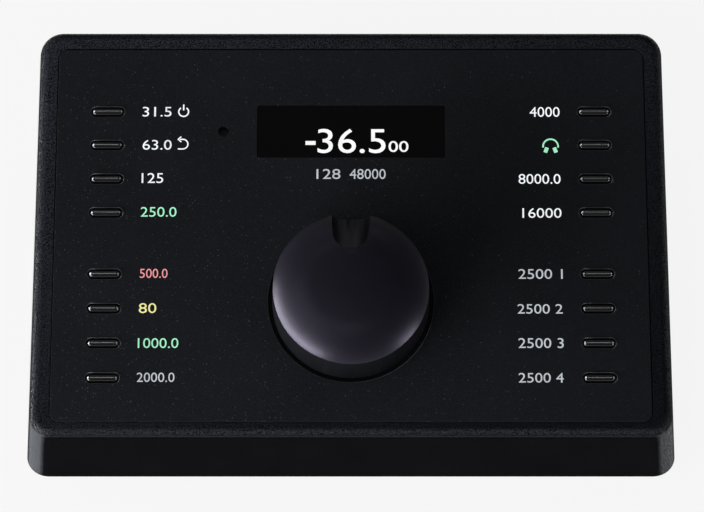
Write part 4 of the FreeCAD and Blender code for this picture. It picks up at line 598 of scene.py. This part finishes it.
# Each legend: its numbers, left and right edge, lower and upper edge on the panel, finish.
LEGENDS = [
    ("31.5", -63.9, -55.0, 37.2, 40.35, MARK_WHITE),
    ("63.0", -63.7, -54.8, 26.5, 29.65, MARK_WHITE),
    ("125", -63.8, -57.2, 15.8, 19.0, MARK_WHITE),
    ("250.0", -63.9, -53.0, 5.05, 8.15, MARK_GREEN),
    ("500.0", -63.8, -55.4, -14.3, -11.4, MARK_RED),
    ("80", -63.9, -58.6, -25.3, -22.2, MARK_YELLOW),
    ("1000.0", -64.0, -51.8, -36.2, -33.1, MARK_GREEN),
    ("2000.0", -64.1, -52.8, -46.7, -43.8, MARK_GREY),
    ("4000", 54.8, 64.0, 37.1, 40.3, MARK_WHITE),
    ("8000.0", 51.1, 63.9, 15.55, 18.7, MARK_WHITE),
    ("16000", 52.1, 64.0, 4.7, 7.8, MARK_WHITE),
    ("2500 1", 50.6, 64.0, -14.6, -11.5, MARK_GREY),
    ("2500 2", 50.2, 63.8, -25.5, -22.5, MARK_GREY),
    ("2500 3", 50.3, 63.9, -36.2, -33.1, MARK_GREY),
    ("2500 4", 50.2, 63.7, -46.9, -43.9, MARK_GREY),
]

for count, (words, left, right, low, high, material) in enumerate(LEGENDS, start=1):
    fit_mark(text_mesh(f"legend_{count:02d}", words), left, right, low, high, material)

# standby pictogram: an open ring with a stroke in its gap
stroke("standby_mark", (-51.3, 38.75), [arc(1.5, 125, 415), [(0, 0.45), (0, 2.35)]], 0.45,
       MARK_WHITE)
# return pictogram: a hooked arrow and its head
stroke("return_mark", (-51.4, 28.3),
       [[(-1.5, -1.55), (0, -1.55)] + arc(1.55, -90, 90) + [(-1.0, 1.55)],
        [(-0.5, 2.4), (-1.5, 1.55), (-0.5, 0.7)]], 0.42, MARK_WHITE)
# headphone pictogram: a bow with two ear pads
HEADPHONE_MIDDLE = (61.05, 27.6)
stroke("headphone_bow", HEADPHONE_MIDDLE, [arc(2.3, -10, 190)], 0.5, MARK_GREEN)
stroke("headphone_pads", HEADPHONE_MIDDLE,
       [[(-1.65, -2.0), (-1.1, -0.4)], [(1.65, -2.0), (1.1, -0.4)]], 1.15, MARK_GREEN)

# The display's reading: name, words, how much bolder, left and right, lower and upper edge.
READING = [
    ("reading_minus", "-", 0.01, -13.9, -10.8, 28.05, 29.3),
    ("reading_digits", "36.5", 0.0, -10.2, 10.6, 25.4, 33.2),
    ("reading_unit", "00", 0.004, 11.5, 17.6, 25.75, 29.3),
]

for name, words, bold, left, right, low, high in READING:
    fit_mark(text_mesh(name, words, bold), left, right, low, high, READING_WHITE, READING_LIFT)

# the two small lit numbers under the display
fit_mark(text_mesh("source_mark_left", "128"), -10.5, -3.2, 17.1, 20.3, MARK_GREY)
fit_mark(text_mesh("source_mark_right", "48000"), -0.4, 10.6, 17.1, 20.3, MARK_GREY)


# ---- volume knob --------------------------------------------------------------------------------

# Heights above the panel's face and radii, as the solid knob has them.
KNOB_LIP_RADIUS, KNOB_LIP_HEIGHT = 23.7, -1.0
KNOB_SKIRT_RADIUS, KNOB_CEILING = 19.7, 8.6
HUB_SOCKET_RADIUS, HUB_SOCKET_TOP = 6.05, 12.25
KNOB_TOP, CROWN_RADIUS = 22.0, 80.0
KNOB_SEGMENTS = 144
# The crown rolls over in a wide shoulder, which meets the side in a small rounding. Tilts from the
# level, in degrees.
CROWN_TILTS = (2, 4, 6, 8)
SHOULDER_RADIUS, SHOULDER_END, SHOULDER_STEPS = 20.7, 46.0, 16
EDGE_RADIUS, EDGE_END, EDGE_STEPS = 0.6, 88.5, 8
# The scoop's cutter: its radius and length, how steeply it lies, the middle of its round end.
SCOOP_RADIUS, SCOOP_LENGTH, SCOOP_FALL = 5.75, 24.0, 42.0
SCOOP_PLACE = (0.0, 16.15, 21.86)
CUTTER_SEGMENTS, CUTTER_RINGS = 64, 32
# The bevel on edges whose faces meet at more than this angle. On a mesh as fine as the knob's, its
# clamp against overlaps leaves it almost no width.
SCOOP_EDGE, SCOOP_EDGE_STEPS, SHARP_ANGLE = 0.2, 2, math.radians(25)
KNOB_SMOOTH_ANGLE = math.radians(40)


def knob_profile():
    """Rings of the knob, from the crown's middle down and round to the hub's socket."""
    rings = [(CROWN_RADIUS * math.sin(math.radians(tilt)),
              KNOB_TOP - CROWN_RADIUS * (1 - math.cos(math.radians(tilt))))
             for tilt in CROWN_TILTS]
    for radius, first, last, steps in [
            (SHOULDER_RADIUS, CROWN_TILTS[-1], SHOULDER_END, SHOULDER_STEPS),
            (EDGE_RADIUS, SHOULDER_END, EDGE_END, EDGE_STEPS)]:
        out, up = rings[-1]
        begin = math.radians(first)
        for step in range(1, steps + 1):
            tilt = math.radians(first + (last - first) * step / steps)
            rings.append((out + radius * (math.sin(tilt) - math.sin(begin)),
                          up + radius * (math.cos(tilt) - math.cos(begin))))
    return rings + [(KNOB_LIP_RADIUS, KNOB_LIP_HEIGHT), (KNOB_SKIRT_RADIUS, KNOB_LIP_HEIGHT),
                    (KNOB_SKIRT_RADIUS, KNOB_CEILING), (HUB_SOCKET_RADIUS, KNOB_CEILING),
                    (HUB_SOCKET_RADIUS, HUB_SOCKET_TOP)]


def scoop_cutter():
    """A round-nosed cutter, lying as it mills the finger scoop."""
    bpy.ops.object.select_all(action="DESELECT")
    bpy.ops.mesh.primitive_uv_sphere_add(segments=CUTTER_SEGMENTS, ring_count=CUTTER_RINGS,
                                         radius=SCOOP_RADIUS, location=(0, 0, 0))
    cutter = bpy.context.object
    pick_faces(cutter, lambda face: face.center.z < 0)
    bpy.ops.object.mode_set(mode="EDIT")
    bpy.ops.mesh.extrude_region_move(TRANSFORM_OT_translate={"value": (0, 0, -SCOOP_LENGTH)})
    bpy.ops.object.mode_set(mode="OBJECT")
    cutter.data.transform(Matrix.Translation(SCOOP_PLACE)
                          @ Matrix.Rotation(math.radians(90 - SCOOP_FALL), 4, "X"))
    return cutter


def make_knob():
    """The turned knob with its finger scoop milled in."""
    knob = lathe("turned_knob", knob_profile(), KNOB_SEGMENTS)
    cut(knob, scoop_cutter())
    broken = knob.modifiers.new("broken_edges", "BEVEL")
    broken.width, broken.segments = SCOOP_EDGE, SCOOP_EDGE_STEPS
    broken.limit_method, broken.angle_limit = "ANGLE", SHARP_ANGLE
    bpy.ops.object.modifier_apply(modifier=broken.name)
    bpy.ops.object.shade_smooth_by_angle(angle=KNOB_SMOOTH_ANGLE)
    knob_place = Matrix.Translation(Vector((0, -KNOB_BELOW_MIDDLE, 0)))
    settle(knob, knob_turn["child"], FINISHES["knob_aluminium"],
           PANEL @ knob_place @ MILLIMETRES)
    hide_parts("volume_knob")


make_knob()


# ---- key mat ------------------------------------------------------------------------------------

# The mat's sheet and its sixteen hollow domes are pieces of their own. Heights of a dome are
# from the sheet's top, and that is from the panel's face.
KEY_COUNT = 16
SHEET_TOP = -8.4
# The sheet is cut from a copy of the solid mat, which is drawn in metres.
SHEET_SEAM = 0.001 * MM
DOME_HEIGHT, DOME_TOP_RADIUS, DOME_FOOT_RADIUS = 4.4, 1.6, 2.3
HOLLOW_HEIGHT, HOLLOW_TOP_RADIUS, HOLLOW_FOOT_RADIUS = 3.4, 1.1, 1.64
# The mat's own domes are cut off this far above its sheet, and the new ones stand there. A
# pressed dome keeps the second share of its height.
DOME_FOOT, DOME_PRESSED = 0.02, 0.9
DOME_SEGMENTS = 24
# A block over the whole mat, which takes its domes off.
TRIM_WIDTH, TRIM_DEPTH, TRIM_HEIGHT = 220, 160, 20
SMOOTH_ANGLE = math.radians(35)


def make_mat_sheet():
    """The mat without its domes."""
    sheet = bpy.data.objects.new("key_mat_sheet", nodes["key_mat"].data.copy())
    bpy.context.scene.collection.objects.link(sheet)
    close_seams(sheet, SHEET_SEAM)
    cutter = block(TRIM_WIDTH, TRIM_DEPTH, TRIM_HEIGHT)
    lift = Matrix.Translation((0, 0, SHEET_TOP + DOME_FOOT + TRIM_HEIGHT / 2))
    cutter.data.transform(PANEL @ MILLIMETRES @ lift)
    cut(sheet, cutter)
    settle(sheet, "root", FINISHES["silicone"], Matrix.Identity(4))
    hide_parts("key_mat")


def make_dome(key):
    """The hollow dome under a key."""
    rings = [(DOME_TOP_RADIUS / 2, DOME_HEIGHT), (DOME_TOP_RADIUS, DOME_HEIGHT),
             (DOME_FOOT_RADIUS, DOME_FOOT), (HOLLOW_FOOT_RADIUS, DOME_FOOT),
             (HOLLOW_TOP_RADIUS, HOLLOW_HEIGHT)]
    dome = lathe(key.replace("key", "key_dome"), rings, DOME_SEGMENTS)
    bpy.ops.object.shade_smooth_by_angle(angle=SMOOTH_ANGLE)
    low_corner, high_corner = [Vector(corner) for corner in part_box(key)]
    middle = PANEL.inverted() @ ((low_corner + high_corner) / 2)
    middle.z = SHEET_TOP * MM
    settle(dome, "root", FINISHES["silicone"],
           PANEL @ Matrix.Translation(middle) @ MILLIMETRES)
    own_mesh(dome)


make_mat_sheet()
for number in range(1, KEY_COUNT + 1):
    make_dome(f"key_{number:02d}")


# ---- screws and contacts ------------------------------------------------------------------------

# A cross recess, in shares of the head's radius: its width, its arms' width and its depth. Its
# point is this share of its mouth, and the punch stands out of the head by the last, to cut clean.
CROSS_WIDTH, CROSS_ARM, CROSS_DEPTH = 1.05, 0.24, 0.5
CROSS_POINT = 0.6
PUNCH_STANDS_OUT = 0.05
# Tilts, in degrees, of the rings that round a pan head.
HEAD_TILTS = (25, 45, 60, 75, 90)
SCREW_SEGMENTS, SCREW_CHAMFER = 32, 0.3


def cross_punch(radius, top):
    """A cross-shaped punch for a screw head of this radius, narrower towards its point. Its last
    arm is narrow all the way up."""
    width, arm, depth = radius * CROSS_WIDTH, radius * CROSS_ARM, radius * CROSS_DEPTH
    punch = block(arm, arm, depth)
    for axis, way in ((0, 1), (0, -1), (1, 1), (1, -1)):
        pick_faces(punch, lambda face: (face.normal[axis] * way > ALONG
                                        and abs(face.center[1 - axis]) < arm / 4))
        reach = Vector((0, 0, 0))
        reach[axis] = way * (width - arm) / 2
        bpy.ops.object.mode_set(mode="EDIT")
        bpy.ops.mesh.extrude_region_move(TRANSFORM_OT_translate={"value": reach})
        bpy.ops.object.mode_set(mode="OBJECT")
    # The end of the last arm stays selected with the point.
    for face in punch.data.polygons:
        face.select = face.normal.z < -ALONG
    bpy.ops.object.mode_set(mode="EDIT")
    bpy.ops.transform.resize(value=(CROSS_POINT, CROSS_POINT, 1), center_override=(0, 0, 0))
    bpy.ops.object.mode_set(mode="OBJECT")
    punch.data.transform(Matrix.Translation((0, 0, top - depth / 2 + PUNCH_STANDS_OUT)))
    return punch


def cross_screw(name, head_radius, head_height, shank_radius, shank_length):
    """A pan-head screw about the Z axis with a cross recess; its head sits on z = 0."""
    rings = [(head_radius * math.sin(math.radians(tilt)),
              head_height * (1 + math.cos(math.radians(tilt))) / 2) for tilt in HEAD_TILTS]
    rings += [(head_radius, 0), (shank_radius, 0), (shank_radius, SCREW_CHAMFER - shank_length),
              (shank_radius - SCREW_CHAMFER, -shank_length)]
    screw = lathe(name, rings, SCREW_SEGMENTS)
    cut(screw, cross_punch(head_radius, head_height))
    bpy.ops.object.shade_smooth_by_angle(angle=SMOOTH_ANGLE)
    return screw


def spread(piece, places):
    """A piece copied to each of these places, as matrices in millimetres, and joined to one."""
    twins = [piece.copy() for _ in places]
    for twin, place in zip(twins, places):
        twin.data = piece.data.copy()
        twin.data.transform(place)
        bpy.context.scene.collection.objects.link(twin)
    name = piece.name
    bpy.data.objects.remove(piece)
    bpy.ops.object.select_all(action="DESELECT")
    for twin in twins:
        twin.select_set(True)
    bpy.context.view_layer.objects.active = twins[0]
    bpy.ops.object.join()
    twins[0].name = twins[0].data.name = name
    return twins[0]


def fit_detail(piece, slot, *node_names):
    """Fit a piece, drawn in millimetres, to the housing and give it its slot's finish."""
    settle(piece, "root", FINISHES[slot], MILLIMETRES)
    if node_names:
        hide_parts(*node_names)


# Tips about the X axis, in degrees, that turn a piece's top to the back or down.
TO_BACK, DOWN = -90, 180


def facing(tip, turn, place):
    """A matrix that turns a piece about its own axis, tips it over and puts it in its place."""
    return (Matrix.Translation(place) @ Matrix.Rotation(math.radians(tip), 4, "X")
            @ Matrix.Rotation(math.radians(turn), 4, "Z"))


# Input sockets: their axes (x, z), the faces of their flanges (y), and beside each axis the flange
# screws (x, z, turn) and the contact holes (x, z).
COMBO_AXES = [(-67.333, 22.4), (-36.667, 22.4)]
FLANGE_OUTER, FLANGE_INNER = 61.4, 57.9
FLANGE_SCREWS = [(9.5, 12.0, 20), (-9.5, -12.0, 65)]
CONTACT_HOLES = [(0.0, -5.5), (4.763, 2.75), (-4.763, 2.75)]
# Base plate: the height that its screw heads sit at, and the screws (x, y, turn).
BASE_SEAT = 2.5
BASE_SCREWS = [(-89.85, -49.4, 35), (89.85, -49.4, 10), (-89.85, 49.4, 70), (89.85, 49.4, 50)]
# Screws: radius and height of the head, radius and length of the shank.
FLANGE_SCREW = (2.4, 0.9, 1.4, FLANGE_OUTER - FLANGE_INNER)
BASE_SCREW = (2.8, 1.6, 1.5, 9.0)

fit_detail(spread(cross_screw("flange_screws_crossed", *FLANGE_SCREW),
                  [facing(TO_BACK, turn, (x + beside, FLANGE_OUTER, z + above))
                   for x, z in COMBO_AXES for beside, above, turn in FLANGE_SCREWS]),
           "steel", "socket_screws")
fit_detail(spread(cross_screw("base_screws_crossed", *BASE_SCREW),
                  [facing(DOWN, turn, (x, y, BASE_SEAT)) for x, y, turn in BASE_SCREWS]),
           "steel", "base_screws")

# Turned contact cups in the input sockets, a little below the flange.
CUP_RADIUS, CUP_LENGTH, CUP_BELOW_FLANGE, CUP_SEGMENTS = 1.26, 12.0, 0.5, 24
CUP_BORE, CUP_BORE_DEPTH, CUP_MOUTH, CUP_MOUTH_DEPTH = 0.95, 11.0, 1.1, 0.2

fit_detail(spread(lathe("input_contacts",
                        [(CUP_BORE, -CUP_BORE_DEPTH), (CUP_BORE, -CUP_MOUTH_DEPTH),
                         (CUP_MOUTH, 0.0), (CUP_RADIUS, 0.0), (CUP_RADIUS, -CUP_LENGTH)],
                        CUP_SEGMENTS),
                  [facing(TO_BACK, 0, (x + beside, FLANGE_OUTER - CUP_BELOW_FLANGE, z + above))
                   for x, z in COMBO_AXES for beside, above in CONTACT_HOLES]),
           "brass")

# Springy wires in the network socket: each (y, z) run goes from the ceiling down to the back.
NETWORK_X, NETWORK_PITCH, NETWORK_WIRES, NETWORK_WIRE = 45.0, 1.02, 8, 0.34
NETWORK_RUN = [(59.0, 21.1), (57.4, 21.1), (49.2, 18.2), (48.2, 18.5)]
network_columns = [NETWORK_X + NETWORK_PITCH * (step - (NETWORK_WIRES - 1) / 2)
                   for step in range(NETWORK_WIRES)]

fit_detail(wires("network_contacts", [[(x, y, z) for y, z in NETWORK_RUN]
                                      for x in network_columns], NETWORK_WIRE), "brass")

# Contacts on the two faces of the USB socket's tongue, from its front to its root.
USB_X, USB_PITCH, USB_TO_EACH_SIDE, USB_WIRE = 62.17, 0.5, 4, 0.2
TONGUE_FRONT, TONGUE_ROOT, TONGUE_FACES = 59.9, 54.0, (12.58, 11.92)
usb_columns = [USB_X + USB_PITCH * step for step in range(-USB_TO_EACH_SIDE,
                                                          USB_TO_EACH_SIDE + 1)]

fit_detail(wires("usb_contacts", [[(x, TONGUE_FRONT, z), (x, TONGUE_ROOT, z)]
                                  for z in TONGUE_FACES for x in usb_columns], USB_WIRE), "brass")


# ---- floor, backdrop and lights -----------------------------------------------------------------

# The floor's width, in metres.
FLOOR_SIZE = 6.0
# The glow's share of what the eye sees. The rest is the lit floor, with the object's shadow.
FLOOR_GLOW = 0.9


def plain_floor():
    """A seamless pale floor, white to the eye and in reflections, with the object's shadow."""
    material, tree, _ = new_material("white_floor")
    lit = add(tree, "BsdfPrincipled", {"Base Color": srgb("e9e9e9"), "Roughness": 0.9,
                                       "Specular IOR Level": 0.0})
    glow = add(tree, "Emission", {"Color": srgb("ffffff"), "Strength": 0.985})
    rays = add(tree, "LightPath")
    seen = add(tree, "Math", {0: rays.outputs["Is Camera Ray"], 1: rays.outputs["Is Glossy Ray"]},
               operation="ADD").outputs[0]
    seen = add(tree, "Math", {0: seen, 1: rays.outputs["Is Transmission Ray"]},
               operation="ADD", use_clamp=True).outputs[0]
    share = add(tree, "Math", {0: seen, 1: FLOOR_GLOW}, operation="MULTIPLY").outputs[0]
    mixed = add(tree, "MixShader", {0: share, 1: lit.outputs[0], 2: glow.outputs[0]})
    add(tree, "OutputMaterial", {"Surface": mixed.outputs[0]})
    return material


bpy.ops.object.select_all(action="DESELECT")
bpy.ops.mesh.primitive_plane_add(size=FLOOR_SIZE, location=(0, 0, 0))
floor = bpy.context.object
floor.name = "floor"
floor.data.materials.append(plain_floor())

# Lamps: name, place, width and height in metres, power in watts. Each faces the object's middle.
LAMPS = [
    ("low_light", (-0.87, -0.50, 0.10), 1.30, 0.14, 24),
    ("side_light", (-0.99, 0.12, 0.10), 0.30, 0.14, 2.8),
    ("soft_light", (-0.86, -0.50, 0.84), 1.10, 1.10, 2.1),
    ("right_light", (0.81, -0.50, 0.06), 0.35, 0.08, 2.6),
    ("rear_light", (0.0, 1.00, 0.80), 1.20, 0.40, 0.5),
    ("ridge_light", (-0.15, 0.46, 1.00), 0.60, 0.06, 0.2),
    ("front_light", (0.0, -0.63, 1.02), 0.40, 0.30, 0.25),
]
MIDDLE = Vector((0, 0, 0.03))

for name, place, width, height, power in LAMPS:
    lamp = bpy.data.lights.new(name, "AREA")
    lamp.shape = "RECTANGLE"
    lamp.size, lamp.size_y = width, height
    lamp.energy = power
    holder = bpy.data.objects.new(name, lamp)
    bpy.context.scene.collection.objects.link(holder)
    holder.location = place
    holder.rotation_euler = (MIDDLE - Vector(place)).to_track_quat("-Z", "Y").to_euler()

# The room: pale up to the first height above the horizon, dim from the second.
PALE_TO, DIM_FROM = math.sin(math.radians(2)), math.sin(math.radians(5))

world = bpy.data.worlds.new("studio")
bpy.context.scene.world = world
world.use_nodes = True
room = world.node_tree
room.nodes.clear()
outlook = add(room, "TexCoord").outputs["Generated"]
rise = add(room, "SeparateXYZ", {"Vector": outlook}).outputs["Z"]
level = add(room, "MapRange", {"Value": rise, "From Min": PALE_TO, "From Max": DIM_FROM,
                               "To Min": 0.95, "To Max": 0.12}).outputs[0]
backing = add(room, "Background", {"Color": srgb("ffffff"), "Strength": level})
add(room, "OutputWorld", {"Surface": backing.outputs[0]})
